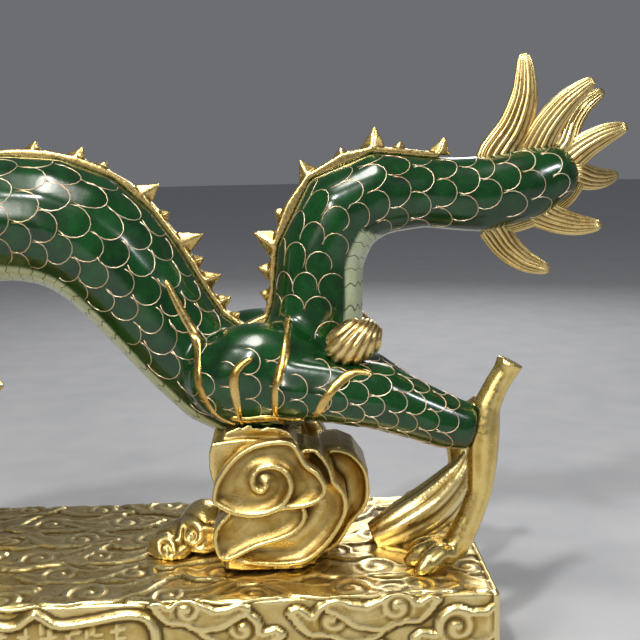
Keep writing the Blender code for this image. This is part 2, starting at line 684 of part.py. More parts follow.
def plinth_clouds():
    """Cloud heads on the four sides and the top of the plinth."""
    clouds = []
    half_length = PLINTH_LENGTH / 2 - SIDE_RELIEF
    half_depth = PLINTH_DEPTH / 2 - SIDE_RELIEF
    ground = PLINTH_HEIGHT - TOP_RELIEF
    front_turn = Matrix.Rotation(math.pi / 2, 4, "X")
    back_turn = Matrix.Rotation(math.pi, 4, "Z") @ front_turn
    end_turn = Matrix.Rotation(math.pi / 2, 4, "Z") @ front_turn
    for x, z, size in ((0.0650, 0.0300, 0.75), (0.0980, 0.0310, 0.80), (0.1480, 0.0310, 0.82),
                       (0.0800, 0.0130, 0.78), (0.1210, 0.0140, 0.84), (0.1620, 0.0130, 0.72)):
        for side in (-1, 1):
            frame = Matrix.Translation((side * x, -half_depth, z)) @ front_turn
            clouds.append(ruyi("front_cloud", CLOUD_RADIUS * size, SIDE_RELIEF, frame))
    for k in range(5):
        frame = Matrix.Translation((-0.1360 + k * 0.0680, half_depth, 0.0220)) @ back_turn
        clouds.append(ruyi("back_cloud", CLOUD_RADIUS * 1.2, SIDE_RELIEF, frame))
    for side in (-1, 1):
        frame = Matrix.Translation((side * half_length, 0.0, 0.0220)) @ end_turn
        clouds.append(ruyi("end_cloud", CLOUD_RADIUS * 1.2, SIDE_RELIEF, frame))
    for row, y in enumerate((-0.0440, 0.0440)):
        for k in range(5):
            x = -0.1450 + k * 0.0700 + row * 0.0060
            frame = Matrix.Translation((x, y, ground))
            clouds.append(ruyi("top_cloud", CLOUD_RADIUS * 0.85, TOP_RELIEF, frame))
    return clouds


def cartouche_outline(shrink):
    """Ogee outline of the cartouche as x, z, drawn in by shrink."""
    half = CARTOUCHE_HALF - shrink
    top = CARTOUCHE_TOP - shrink
    base = CARTOUCHE_BASE + shrink
    right = ((0.0150, top + 0.0010), (half - CARTOUCHE_CORNER, top), (half, top - CARTOUCHE_CORNER),
             (half, base + CARTOUCHE_CORNER), (half - CARTOUCHE_CORNER, base))
    left = [(-x, z) for x, z in reversed(right)]
    return [(0.0, CARTOUCHE_PEAK - shrink), *right, *left]


def cartouche():
    """Raised ogee rim round the inscribed field on the front."""
    face = -PLINTH_DEPTH / 2
    rim = plate("cartouche_rim", cartouche_outline(0.0), face, face + 2 * SIDE_RELIEF, step=1.0)
    inner = plate("cartouche_field", cartouche_outline(CARTOUCHE_RIM), face - SIDE_RELIEF, face + 3 * SIDE_RELIEF, step=1.0)
    cut_or_join(rim, inner, "DIFFERENCE")
    bpy.data.objects.remove(inner, do_unlink=True)
    return [rim]


def plinth():
    """Block with softened edges, cloud relief, cartouche, mounds and wave."""
    low = (-PLINTH_LENGTH / 2 + SIDE_RELIEF, -PLINTH_DEPTH / 2 + SIDE_RELIEF, 0.0)
    high = (PLINTH_LENGTH / 2 - SIDE_RELIEF, PLINTH_DEPTH / 2 - SIDE_RELIEF, PLINTH_HEIGHT - TOP_RELIEF)
    block = box("plinth", low, high)
    block.data.transform(Matrix.Diagonal((*block.scale, 1.0)))
    block.scale = (1.0, 1.0, 1.0)
    edge = block.modifiers.new("soft_edges", "BEVEL")
    edge.width = PLINTH_EDGE
    edge.segments = 2
    edge.limit_method = "ANGLE"
    join_all(block, plinth_clouds() + cartouche())
    wave = tube("wave", WAVE_LINE, 8, 0.009)
    wave.location.z += PLINTH_HEIGHT
    join_all(block, [wave])
    return block


def build():
    """Make every piece and cut the gaps where they meet."""
    body = body_form("body", 0.0)
    seat = body_form("body_seat", CLEARANCE)
    ground = box("ground", (-PLINTH_LENGTH, -PLINTH_DEPTH, -PLINTH_HEIGHT), (PLINTH_LENGTH, PLINTH_DEPTH, CLEARANCE))
    pieces = [("dorsal_ridge", dorsal_ridge()), ("tail_tuft", tail_tuft()), ("cloud_support", cloud_support()),
              ("head", head())]
    for name, side, shift, drop, foot_shift, stub in LEGS:
        pieces.append((name, lower_leg(name, side, shift, drop, foot_shift, stub)))
        knot_name = name.replace("leg", "knot")
        pieces.append((knot_name, knot(knot_name, side, shift, drop)))
    for name, piece in pieces:
        cut_or_join(piece, seat, "DIFFERENCE", name == "head")
        if "leg" in name or name == "cloud_support":
            cut_or_join(piece, ground, "DIFFERENCE")
    for cutter in (seat, ground):
        cutter.hide_render = True
        cutter.display_type = "WIRE"
    for name, piece in [("body", body), *pieces]:
        finish_piece(piece, name, ENAMEL if name == "body" else GILT)
        piece.location.z += PLINTH_HEIGHT
    finish_piece(plinth(), "plinth", GILT)


build()
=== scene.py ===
"""Cloisonne dragon on its gilt plinth: the finished surfaces, piece by piece."""

import math
import random

import bmesh
import bpy
import numpy as np
from mathutils import Matrix, Vector
from mathutils.bvhtree import BVHTree
from mathutils.kdtree import KDTree


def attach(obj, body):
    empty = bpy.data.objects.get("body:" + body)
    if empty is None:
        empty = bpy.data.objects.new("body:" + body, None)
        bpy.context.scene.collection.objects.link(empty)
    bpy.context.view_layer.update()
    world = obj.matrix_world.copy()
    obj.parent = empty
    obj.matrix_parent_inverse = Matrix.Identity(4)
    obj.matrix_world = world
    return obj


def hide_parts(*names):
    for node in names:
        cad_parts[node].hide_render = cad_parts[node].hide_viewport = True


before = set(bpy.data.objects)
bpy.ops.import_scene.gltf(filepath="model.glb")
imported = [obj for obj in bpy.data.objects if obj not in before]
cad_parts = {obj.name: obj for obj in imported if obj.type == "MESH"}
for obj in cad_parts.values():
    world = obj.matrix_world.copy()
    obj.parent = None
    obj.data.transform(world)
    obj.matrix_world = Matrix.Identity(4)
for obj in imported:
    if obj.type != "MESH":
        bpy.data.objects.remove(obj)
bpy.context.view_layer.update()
bpy.ops.object.select_all(action="DESELECT")

# Floor, light and camera
# A pale matt floor under soft studio light. The camera stands close to the
# dragon's near side, a little above its back, and turned slightly clockwise.
FLOOR_RADIUS = 6.0
CAMERA_PLACE = Vector((0.0983, -0.4539, 0.2090))
CAMERA_PITCH = 0.1559
CAMERA_YAW = 0.0289
CAMERA_ROLL = -0.0197
CAMERA_LENS = 61.875
CAMERA_SENSOR = 36.0
# Each lamp: where it hangs, what it points at, its width, its power, its colour
LAMPS = {
    "top_softbox": ((0.02, -0.22, 0.95), (0.0, 0.0, 0.12), 0.26, 3.6, "FFFCF6"),
    "front_softbox": ((-0.45, -1.05, 0.62), (0.05, 0.0, 0.12), 0.26, 4.6, "FFFAF2"),
    "key_lamp": ((-0.12, -0.62, 0.78), (0.05, 0.0, 0.15), 0.07, 4.2, "FFFFFF"),
    "right_lamp": ((0.62, -0.55, 0.60), (0.10, 0.0, 0.12), 0.12, 1.8, "F4F7FF"),
    "back_softbox": ((0.30, 0.95, 0.60), (0.0, 0.0, 0.12), 0.40, 2.8, "FFFFFF"),
}


def linear(code):
    """sRGB hex colour as linear red, green, blue and alpha."""
    shares = [int(code[k:k + 2], 16) / 255 for k in (0, 2, 4)]
    return (*(s / 12.92 if s <= 0.04045 else ((s + 0.055) / 1.055) ** 2.4 for s in shares), 1.0)


def plug(tree, node, links):
    """Give a node's sockets their values or their links."""
    for socket, value in links.items():
        if isinstance(value, bpy.types.NodeSocket):
            tree.links.new(value, node.inputs[socket])
        else:
            node.inputs[socket].default_value = value


def add(tree, kind, links=None, stops=(), **settings):
    """Add a shader node with its settings, colour stops, values and links."""
    made = tree.nodes.new("ShaderNode" + kind)
    for name, value in settings.items():
        setattr(made, name, value)
    for number, (spot, code) in enumerate(stops):
        stop = made.color_ramp.elements[number] if number < 2 else made.color_ramp.elements.new(spot)
        stop.position = spot
        stop.color = linear(code)
    plug(tree, made, links or {})
    return made


def new_material(name):
    """Empty Principled material: its tree, its shader and its object coordinates."""
    made = bpy.data.materials.new(name)
    made.use_nodes = True
    tree = made.node_tree
    return made, tree, tree.nodes["Principled BSDF"], add(tree, "TexCoord").outputs["Object"]


def new_object(name, data):
    """Object with this data, put into the scene."""
    made = bpy.data.objects.new(name, data)
    bpy.context.scene.collection.objects.link(made)
    return made


def floor_paper():
    """Pale matt paper, almost white, with a faint mottle."""
    made, tree, shader, place = new_material("floor_paper")
    mottle = add(tree, "TexNoise", {"Vector": place, "Scale": 30.0, "Detail": 3.0})
    tone = add(tree, "ValToRGB", {"Fac": mottle.outputs["Fac"]}, stops=((0.3, "B9BABC"), (0.7, "C2C2C3")))
    plug(tree, shader, {"Base Color": tone.outputs["Color"], "Roughness": 0.85})
    return made


bpy.ops.mesh.primitive_circle_add(vertices=96, radius=FLOOR_RADIUS, fill_type="NGON")
floor = bpy.context.object
floor.name = "floor"
floor.data.materials.append(floor_paper())

for lamp_name, (lamp_place, lamp_goal, lamp_width, lamp_power, lamp_colour) in LAMPS.items():
    lamp_data = bpy.data.lights.new(lamp_name, "AREA")
    lamp_data.shape = "DISK"
    lamp_data.size = lamp_width
    lamp_data.energy = lamp_power
    lamp_data.color = linear(lamp_colour)[:3]
    lamp = new_object(lamp_name, lamp_data)
    lamp.location = lamp_place
    lamp.rotation_euler = (Vector(lamp_goal) - Vector(lamp_place)).to_track_quat("-Z", "Y").to_euler()

world = bpy.data.worlds.new("studio")
world.use_nodes = True
sky = world.node_tree.nodes["Background"]
sky.inputs["Color"].default_value = linear("AEB0B6")
sky.inputs["Strength"].default_value = 0.36
bpy.context.scene.world = world
bpy.context.scene.view_settings.view_transform = "Standard"

camera_data = bpy.data.cameras.new("camera")
camera_data.lens = CAMERA_LENS
camera_data.sensor_width = CAMERA_SENSOR
camera_data.clip_start = 0.01
camera = new_object("camera", camera_data)
ahead = Vector((math.sin(CAMERA_YAW) * math.cos(CAMERA_PITCH), math.cos(CAMERA_YAW) * math.cos(CAMERA_PITCH),
                -math.sin(CAMERA_PITCH)))
level = Vector((math.cos(CAMERA_YAW), -math.sin(CAMERA_YAW), 0.0))
upward = level.cross(ahead)
camera_right = math.cos(CAMERA_ROLL) * level + math.sin(CAMERA_ROLL) * upward
camera_up = math.cos(CAMERA_ROLL) * upward - math.sin(CAMERA_ROLL) * level
camera_turn = Matrix((camera_right, camera_up, -ahead)).transposed().to_4x4()
camera.matrix_world = Matrix.Translation(CAMERA_PLACE) @ camera_turn
bpy.context.scene.camera = camera

# Plinth
# Cast bronze block with overlapping ruyi clouds chased over its sides and
# top, an ogee cartouche on the front, and a wave that curls up behind the
# feet. Fire-gilt all over, left matt in the hollows and rubbed on the edges.
PLINTH_HALF_LENGTH = 0.1775
PLINTH_HALF_DEPTH = 0.060
PLINTH_HEIGHT = 0.042
PLINTH_EDGE = 0.0035
# Columns along the length, rows up a side and over the top
PLINTH_COLUMNS = 374
SIDE_ROWS = 52
TOP_ROWS = 109
# Relief in millimetres: deepest on the sides, its share on the top, border
RELIEF = 2.1
TOP_SHARE = 0.85
BORDER = 4.0
BORDER_LEVEL = 1.2
GROUND_LEVEL = 0.35
# On a cloud: its rise, the dish inside its rim, its spiral's pitch in shares of the head, and the
# height of the spiral and of the boss in its middle
CLOUD_RISE = 1.0
CLOUD_DISH = 0.55
SPIRAL_PITCH = 0.60
SPIRAL_RISE = 0.34
BOSS_RISE = 0.60
# A cloud is a round head with a long scalloped tail and a short one, in shares
# of the head's radius: steps, start, length, droop, lift, radii, scallops
CLOUD_TAILS = ((15, 0.50, 2.90, 0.55, 0.45, 0.80, 0.36, 3), (8, -0.40, -1.55, 0.45, 0.10, 0.64, 0.30, 2))
# Heads on the front: x, height, radius, turn in degrees, hand
FRONT_HEADS = ((63.0, 13.0, 7.6, 0.0, 1), (98.0, 10.5, 8.2, 12.0, -1), (128.0, 15.0, 8.0, -14.0, 1),
               (155.0, 9.0, 7.4, 14.0, -1), (112.0, 31.5, 7.6, -8.0, 1), (78.0, 29.0, 7.2, -16.0, -1),
               (160.0, 27.0, 8.2, 20.0, 1), (137.0, 36.0, 7.6, 6.0, -1), (57.0, 37.0, 6.6, -10.0, 1))
# Staggered clouds: rows, clouds in a row, the first one's x, pitch, inset of the first row, pitch of rows
TOP_FIELD = (6, 12, -172.0, 32.0, 9.0, 20.5)
BACK_FIELD = (3, 11, -165.0, 33.0, 7.0, 14.0)
ROW_STAGGER = 16.0
# Clouds on an end: heights of the rows, clouds in a row, the first one's place, pitch, stagger, matting
END_ROWS = (10.0, 24.0, 36.0)
END_FIELD = (4, -48.0, 30.0, 14.0)
END_MATTING = 0.4
# Cartouche outline from the peak down to the foot of its right half
CARTOUCHE = ((0.0, 39.2), (4.5, 36.4), (9.0, 33.9), (20.0, 35.0), (34.0, 37.2), (42.5, 35.4), (46.4, 29.0),
             (46.6, 20.0), (46.2, 12.5), (42.0, 7.6), (30.0, 6.8), (12.0, 6.8))
CARTOUCHE_RIM = 3.4
# Strokes: heights of the rows, groups in a row, the first group's x, pitch, strokes in a group, rise
STROKE_ROWS = (27.0, 16.0)
STROKE_GROUPS = 8
FIRST_GROUP = -30.5
GROUP_PITCH = 8.7
GROUP_STROKES = 5
STROKE_RISE = 0.55
# Size of the cloudy patches in the gilding, pitch of the matting punches
GILT_CLOUDING = 0.012
PUNCH_PITCH = 0.0011
# Wave behind the feet: x, y, height, radius
WAVE_LINE = ((0.1330, 0.0, 0.0420, 0.0070), (0.1460, 0.0, 0.0480, 0.0100), (0.1600, 0.0020, 0.0560, 0.0105),
             (0.1710, 0.0030, 0.0680, 0.0075), (0.1750, 0.0030, 0.0780, 0.0026))


def gilt(name, bright, warm, crevice, satin, grain, grain_depth):
    """Gilt bronze under clear lacquer: rubbed bright on the edges, brown in the hollows, finely matted."""
    made, tree, shader, place = new_material(name)
    hollow, matted = (add(tree, "Attribute", attribute_name=kept).outputs["Fac"]
                      for kept in ("hollow", "matted"))
    cloudy = add(tree, "TexNoise", {"Vector": place, "Scale": 1 / GILT_CLOUDING, "Detail": 4.0,
                                    "Roughness": 0.6})
    wear = add(tree, "MapRange", {"Value": hollow, "From Min": 0.02, "From Max": -0.35, "To Max": 0.45})
    lighter = add(tree, "Math", {0: cloudy.outputs["Fac"], 1: wear.outputs["Result"]}, operation="ADD")
    tone = add(tree, "ValToRGB", {"Fac": lighter.outputs[0]}, stops=((0.38, warm), (0.78, bright)))
    depth = add(tree, "MapRange", {"Value": hollow, "From Min": 0.08, "From Max": 0.75, "To Max": 0.85})
    aged = add(tree, "Mix", {"Factor": depth.outputs["Result"], 6: tone.outputs["Color"], 7: linear(crevice)},
               data_type="RGBA")
    pits = add(tree, "TexNoise", {"Vector": place, "Scale": 1 / grain, "Detail": 5.0, "Roughness": 0.65})
    dull = add(tree, "MapRange", {"Value": pits.outputs["Fac"], "From Min": 0.3, "From Max": 0.7,
                                  "To Min": satin - 0.08, "To Max": satin + 0.12})
    duller = add(tree, "Math", {0: depth.outputs["Result"], 1: 0.30, 2: dull.outputs["Result"]},
                 operation="MULTIPLY_ADD")
    punches = add(tree, "TexVoronoi", {"Vector": place, "Scale": 1 / PUNCH_PITCH})
    punched = add(tree, "Math", {0: punches.outputs["Distance"], 1: matted}, operation="MULTIPLY")
    rough = add(tree, "Math", {0: punched.outputs[0], 1: 1.6, 2: pits.outputs["Fac"]},
                operation="MULTIPLY_ADD")
    bump = add(tree, "Bump", {"Height": rough.outputs[0], "Strength": 0.35, "Distance": grain_depth})
    plug(tree, shader, {"Base Color": aged.outputs[2], "Metallic": 1.0, "Roughness": duller.outputs[0],
                        "Coat Weight": 0.30, "Coat Roughness": 0.24, "Normal": bump.outputs["Normal"]})
    return made


def smooth_line(keys, step, closed=False):
    """Points on a smooth line through the keys, about one step apart."""
    count = len(keys)
    points = []
    for i in range(count if closed else count - 1):
        if closed:
            four = [keys[(i + k - 1) % count] for k in range(4)]
        else:
            four = [keys[min(max(i + k - 1, 0), count - 1)] for k in range(4)]
        parts = max(1, round(math.dist(four[1][:3], four[2][:3]) / step))
        for k in range(parts):
            t = k / parts
            points.append(tuple(
                b + 0.5 * ((c - a) * t + (2 * a - 5 * b + 4 * c - d) * t ** 2
                           + (3 * b - a - 3 * c + d) * t ** 3)
                for a, b, c, d in zip(*four)))
    if not closed:
        points.append(tuple(keys[-1]))
    return points


def ease(value, low, high):
    """Smooth rise from 0 at low to 1 at high, for numbers or arrays."""
    share = np.clip((value - low) / (high - low), 0.0, 1.0)
    return share * share * (3 - 2 * share)


def cloud_circles():
    """Circles along the head and both tails of a cloud: x, y, radius."""
    circles = [(0.0, 0.0, 1.0)]
    for steps, start, length, droop, lift, thick, thin, scallops in CLOUD_TAILS:
        for number in range(steps):
            t = number / (steps - 1)
            radius = (thick + (thin - thick) * t) * (1 + 0.15 * abs(math.sin(scallops * math.pi * t)))
            fall = droop * math.sin(math.pi * min(t + 0.15, 1.0))
            circles.append((start + length * t, lift * t - fall, radius))
    return circles


def carve_cloud(x, v, height, cloud):
    """Lay one ruyi cloud over the relief: lobed rim, groove inside it, spiral on its head."""
    cx, cv, size, turn, hand, lift = cloud
    near = np.nonzero(np.hypot(x - cx, v - cv) < size * 3.6)[0]
    if not len(near):
        return
    angle = math.radians(turn)
    dx = x[near] - cx
    dv = v[near] - cv
    u = (dx * math.cos(angle) + dv * math.sin(angle)) * hand / size
    w = (dv * math.cos(angle) - dx * math.sin(angle)) / size
    depth = np.max([r - np.hypot(u - a, w - b) for a, b, r in cloud_circles()], axis=0) * size
    level = lift + CLOUD_RISE * ease(depth, -0.5, 1.0) - CLOUD_DISH * ease(depth, 1.2, 3.0)
    reach = np.hypot(u, w)
    swirl = np.arctan2(w, u) / (2 * math.pi)
    turns = np.cos(2 * math.pi * (reach / SPIRAL_PITCH - swirl))
    level += SPIRAL_RISE * turns * ease(1.0 - reach, 0.0, 0.25) + BOSS_RISE * ease(0.36 - reach, 0.0, 0.26)
    under = height[near] - 0.35 * np.clip(1 + (depth + 0.5) / 1.2, 0.0, 1.0)
    beside = np.where(depth > -1.7, under, height[near])
    height[near] = np.where(depth > -0.5, np.maximum(level, under), beside)


def to_segment(px, pz, start, end):
    """Distance from each point to a straight line between two places."""
    (ax, az), (bx, bz) = start, end
    long2 = max((bx - ax) ** 2 + (bz - az) ** 2, 1e-12)
    share = np.clip(((px - ax) * (bx - ax) + (pz - az) * (bz - az)) / long2, 0.0, 1.0)
    return np.hypot(px - ax - share * (bx - ax), pz - az - share * (bz - az))


def outline_distance(px, pz, outline):
    """Distance to a closed outline and whether each point lies inside it."""
    distance = np.full(px.shape, 1e9)
    inside = np.zeros(px.shape, bool)
    for (ax, az), (bx, bz) in zip(outline, outline[1:] + outline[:1]):
        distance = np.minimum(distance, to_segment(px, pz, (ax, az), (bx, bz)))
        if az != bz:
            inside ^= ((az > pz) != (bz > pz)) & (px < (bx - ax) * (pz - az) / (bz - az) + ax)
    return distance, inside


def field_strokes(x, z):
    """Two rows of groups of short raised strokes, which aren't letters, as shares of full height."""
    draw = random.Random(5)
    strokes = np.zeros(x.shape)
    for row_z in STROKE_ROWS:
        for number in range(STROKE_GROUPS):
            middle_x = FIRST_GROUP + number * GROUP_PITCH
            for stroke in range(GROUP_STROKES):
                ax = middle_x + draw.uniform(-2.6, 1.2)
                az = row_z + draw.uniform(-3.4, 3.4)
                upright = draw.random() < 0.45
                bx = ax + (draw.uniform(-0.4, 0.4) if upright else draw.uniform(1.6, 3.4))
                bz = az + (draw.uniform(2.0, 3.8) if upright else draw.uniform(-0.5, 0.5))
                strokes = np.maximum(strokes, 1 - ease(to_segment(x, z, (ax, az), (bx, bz)), 0.25, 0.95))
    return strokes


def carve_cartouche(x, z, height, matted):
    """Raised ogee rim round a sunk field with two rows of short strokes."""
    right = smooth_line(CARTOUCHE, 2.0)
    distance, inside = outline_distance(x, z, right + [(-a, b) for a, b in reversed(right[1:])])
    depth = np.where(inside, distance, -distance)
    middle = CARTOUCHE_RIM / 2
    bead = 0.40 + 1.70 * ease(1.25 - abs(depth - middle) / middle, 0.0, 0.95)
    strokes = field_strokes(x, z)
    within = depth > CARTOUCHE_RIM
    height[:] = np.where(depth > -2.0, height - 0.8 * ease(depth, -2.0, -0.4), height)
    height[:] = np.where(depth > -0.4, bead, height)
    height[:] = np.where(within, GROUND_LEVEL + STROKE_RISE * strokes, height)
    matted[:] = np.where(within, 1.0 - 0.8 * strokes, matted)


def strip_relief(x, v):
    """Relief of front, top and back as one strip: x along it, v from the front's foot to the back's."""
    height = np.full(x.shape, GROUND_LEVEL)
    matted = np.ones(x.shape)
    draw = random.Random(11)
    clouds = []
    top_start = PLINTH_HEIGHT * 1000
    back_start = top_start + PLINTH_HALF_DEPTH * 2000
    rows, columns, first, pitch, inset, spacing = TOP_FIELD
    for row in range(rows):
        for number in range(columns):
            cx = first + number * pitch + (row % 2) * ROW_STAGGER + draw.uniform(-4, 4)
            cv = top_start + inset + row * spacing + draw.uniform(-3, 3)
            clouds.append((cx, cv, draw.uniform(7.2, 9.6), draw.uniform(-30, 30), draw.choice((-1, 1)),
                           draw.uniform(0.2, 1.1)))
    rows, columns, first, pitch, inset, spacing = BACK_FIELD
    for row in range(rows):
        for number in range(columns):
            cx = first + number * pitch + (row % 2) * ROW_STAGGER + draw.uniform(-3, 3)
            clouds.append((cx, back_start + inset + row * spacing, draw.uniform(6.8, 8.4),
                           180 + draw.uniform(-20, 20), draw.choice((-1, 1)), draw.uniform(0.2, 0.9)))
    draw.shuffle(clouds)
    for side in (-1, 1):
        for number, (cx, cz, size, turn, hand) in enumerate(FRONT_HEADS):
            clouds.append((side * cx, cz, size, side * turn, side * hand, 0.55 + 0.05 * number))
    for cloud in clouds:
        carve_cloud(x, v, height, cloud)
        matted[np.hypot(x - cloud[0], v - cloud[1]) < cloud[2] * 2.0] = 0.25
    front = np.nonzero((v < top_start) & (abs(x) < 52.0))[0]
    face_height = height[front]
    face_matted = matted[front]
    carve_cartouche(x[front], v[front], face_height, face_matted)
    height[front] = face_height
    matted[front] = face_matted
    height *= np.where((v > top_start + 2) & (v < back_start - 2), TOP_SHARE, 1.0)
    return height, matted


def end_relief(y, z):
    """Relief of a short end: clouds inside a plain border."""
    height = np.full(y.shape, GROUND_LEVEL)
    draw = random.Random(23)
    columns, first, pitch, stagger = END_FIELD
    for row, middle in enumerate(END_ROWS):
        for number in range(columns):
            cy = first + number * pitch + (row % 2) * stagger
            carve_cloud(y, z, height, (cy, middle, draw.uniform(6.8, 8.2), draw.uniform(-20, 20),
                                       draw.choice((-1, 1)), draw.uniform(0.2, 0.8)))
    return height, np.full(y.shape, END_MATTING)


def choose(pieces):
    """Select only these objects, the first one active."""
    bpy.ops.object.select_all(action="DESELECT")
    for piece in pieces:
        piece.select_set(True)
    bpy.context.view_layer.objects.active = pieces[0]


def join_pieces(name, pieces):
    """One object from several, named for the whole."""
    choose(pieces)
    bpy.ops.object.join()
    whole = bpy.context.object
    whole.name = name
    whole.data.name = name
    return whole


def plinth_block():
    """Five grids and a bottom face joined into one closed block, to be carved point by point."""
    length = 2 * PLINTH_HALF_LENGTH
    depth = 2 * PLINTH_HALF_DEPTH
    middle = PLINTH_HEIGHT / 2
    quarter = math.pi / 2
    faces = [((PLINTH_COLUMNS, TOP_ROWS), (length, depth), (0, 0, PLINTH_HEIGHT), (0, 0, 0))]
    for way in (-1, 1):
        faces.append(((PLINTH_COLUMNS, SIDE_ROWS), (length, PLINTH_HEIGHT),
                      (0, way * PLINTH_HALF_DEPTH, middle), (-way * quarter, 0, 0)))
        faces.append(((TOP_ROWS, SIDE_ROWS), (depth, PLINTH_HEIGHT),
                      (way * PLINTH_HALF_LENGTH, 0, middle), (quarter, 0, way * quarter)))
    bpy.ops.object.select_all(action="DESELECT")
    grids = []
    for (columns, rows), size, place, turn in faces:
        bpy.ops.mesh.primitive_grid_add(x_subdivisions=columns, y_subdivisions=rows, size=1.0, location=place,
                                        rotation=turn)
        grids.append(bpy.context.object)
        grids[-1].scale = (*size, 1.0)
    whole = join_pieces("plinth_gilt", grids)
    bpy.ops.object.transform_apply(location=True, rotation=True, scale=True)
    bpy.ops.object.mode_set(mode="EDIT")
    bpy.ops.mesh.select_all(action="SELECT")
    bpy.ops.mesh.remove_doubles(threshold=0.00002)
    bpy.ops.mesh.select_all(action="DESELECT")
    bpy.ops.mesh.select_non_manifold()
    bpy.ops.mesh.edge_face_add()
    bpy.ops.mesh.select_all(action="SELECT")
    bpy.ops.mesh.normals_make_consistent(inside=False)
    bpy.ops.object.mode_set(mode="OBJECT")
    return whole


def read_points(piece):
    """The piece's points as rows of x, y, z."""
    flat = np.empty(len(piece.data.vertices) * 3)
    piece.data.vertices.foreach_get("co", flat)
    return flat.reshape(-1, 3)


def write_points(piece, points):
    """Move the piece's points to these rows."""
    piece.data.vertices.foreach_set("co", points.ravel())
    piece.data.update()


def store(piece, name, values):
    """Keep one number for each point as a named attribute."""
    layer = piece.data.attributes.get(name) or piece.data.attributes.new(name, "FLOAT", "POINT")
    layer.data.foreach_set("value", np.asarray(values, dtype=np.float32))


def normals_of(piece):
    """The piece's point normals as rows."""
    flat = np.empty(len(piece.data.vertices) * 3)
    piece.data.vertices.foreach_get("normal", flat)
    return flat.reshape(-1, 3)


def neighbour_means(piece):
    """Function that gives, for rows of points, the mean of the points each one is joined to."""
    count = len(piece.data.vertices)
    ends = np.empty(len(piece.data.edges) * 2, dtype=np.int64)
    piece.data.edges.foreach_get("vertices", ends)
    here = np.concatenate((ends[0::2], ends[1::2]))
    there = np.concatenate((ends[1::2], ends[0::2]))
    links = np.maximum(np.bincount(here, minlength=count), 1)[:, None]
    return lambda points: np.stack([np.bincount(here, points[there, k], count) for k in range(3)], 1) / links


def mark_hollows(piece, passes, depth):
    """Store how far each point lies below (+) or above (-) its smoothed surroundings, in shares of depth."""
    points = read_points(piece)
    mean_of = neighbour_means(piece)
    soft = points
    for _ in range(passes):
        soft = mean_of(soft)
    drop = ((soft - points) * normals_of(piece)).sum(1) / depth
    store(piece, "hollow", np.clip(drop, -1.0, 1.0))


def carve_plinth(block):
    """Round the block's edges and sink its ground between the clouds."""
    points = read_points(block)
    x, y, z = (points * 1000).T
    half_length = PLINTH_HALF_LENGTH * 1000
    half_depth = PLINTH_HALF_DEPTH * 1000
    tall = PLINTH_HEIGHT * 1000
    on_end = (abs(x) > half_length - 0.01) & (abs(y) < half_depth - 0.01) & (z < tall - 0.01)
    over = np.where(y > half_depth - 0.01, 2 * tall + 2 * half_depth - z, tall + y + half_depth)
    v = np.where(y < -half_depth + 0.01, z, over)
    height, matted = strip_relief(x, v)
    end_height, end_matted = end_relief(y, z)
    height = np.where(on_end, end_height, height)
    matted = np.where(on_end, end_matted, matted)
    gap = np.where(on_end, np.minimum(half_depth - abs(y), tall - z), half_length - abs(x))
    plain = 1 - ease(gap, BORDER - 1.0, BORDER)
    groove = np.exp(-((gap - BORDER) / 0.7) ** 2)
    height = height * (1 - plain) + BORDER_LEVEL * plain - 0.5 * groove
    height = np.clip(height, 0.0, RELIEF)
    edge = PLINTH_EDGE * 1000
    core = np.clip(points * 1000, (edge - half_length, edge - half_depth, -1e9),
                   (half_length - edge, half_depth - edge, tall - edge))
    away = points * 1000 - core
    reach = np.linalg.norm(away, axis=1)[:, None]
    moved = core + away / np.maximum(reach, 1e-9) * (edge - RELIEF + height)[:, None]
    rounded = np.where(reach > 0.01, moved, points * 1000)
    rounded[:, 2] = np.where(z < 0.01, 0.0, rounded[:, 2])
    write_points(block, rounded / 1000)
    store(block, "matted", np.where(z > 0.01, matted, 0.0))


def grooved_profile(name, grooves, depth):
    """Round outline with grooves along it, to draw locks and waves with."""
    curve = bpy.data.curves.new(name, "CURVE")
    curve.dimensions = "2D"
    count = grooves * 5
    spline = curve.splines.new("POLY")
    spline.points.add(count - 1)
    for number, point in enumerate(spline.points):
        angle = 2 * math.pi * number / count
        reach = 1.0 - depth * (0.5 + 0.5 * math.cos(grooves * angle)) ** 2
        point.co = (reach * math.cos(angle), reach * math.sin(angle), 0.0, 1.0)
    spline.use_cyclic_u = True
    return new_object(name, curve)


def mend(mesh, gap, outward=True):
    """Merge points closer than a gap and, unless told not to, turn the faces outwards."""
    work = bmesh.new()
    work.from_mesh(mesh)
    bmesh.ops.remove_doubles(work, verts=work.verts, dist=gap)
    if outward:
        bmesh.ops.recalc_face_normals(work, faces=work.faces)
    work.to_mesh(mesh)
    work.free()


def curve_through(name, paths, roundness):
    """Closed rods along paths of x, y, z, radius, as one curve."""
    curve = bpy.data.curves.new(name, "CURVE")
    curve.dimensions = "3D"
    curve.use_fill_caps = True
    curve.bevel_depth = 1.0
    curve.bevel_resolution = roundness
    for path in paths:
        spline = curve.splines.new("POLY")
        spline.points.add(len(path) - 1)
        for point, (x, y, z, radius) in zip(spline.points, path):
            point.co = (x, y, z, 1.0)
            point.radius = radius
    return curve


def from_curve(name, curve, gap, flat=1.0):
    """Mesh object of a curve, flattened in y, merged and with its faces outwards."""
    choose([new_object(name, curve)])
    bpy.ops.object.convert(target="MESH")
    made = bpy.context.object
    made.data.transform(Matrix.Diagonal((1, flat, 1, 1)))
    mend(made.data, gap)
    return made


def drawn_tube(name, keys, step, profile=None, flat=1.0):
    """Solid along keys of x, y, z, radius, round or with a profile, flattened in y."""
    path = [(x, y / flat, z, radius) for x, y, z, radius in smooth_line(keys, step)]
    curve = curve_through(name, [path], 3)
    if profile:
        curve.bevel_mode = "OBJECT"
        curve.bevel_object = profile
    return from_curve(name, curve, 0.000005, flat)


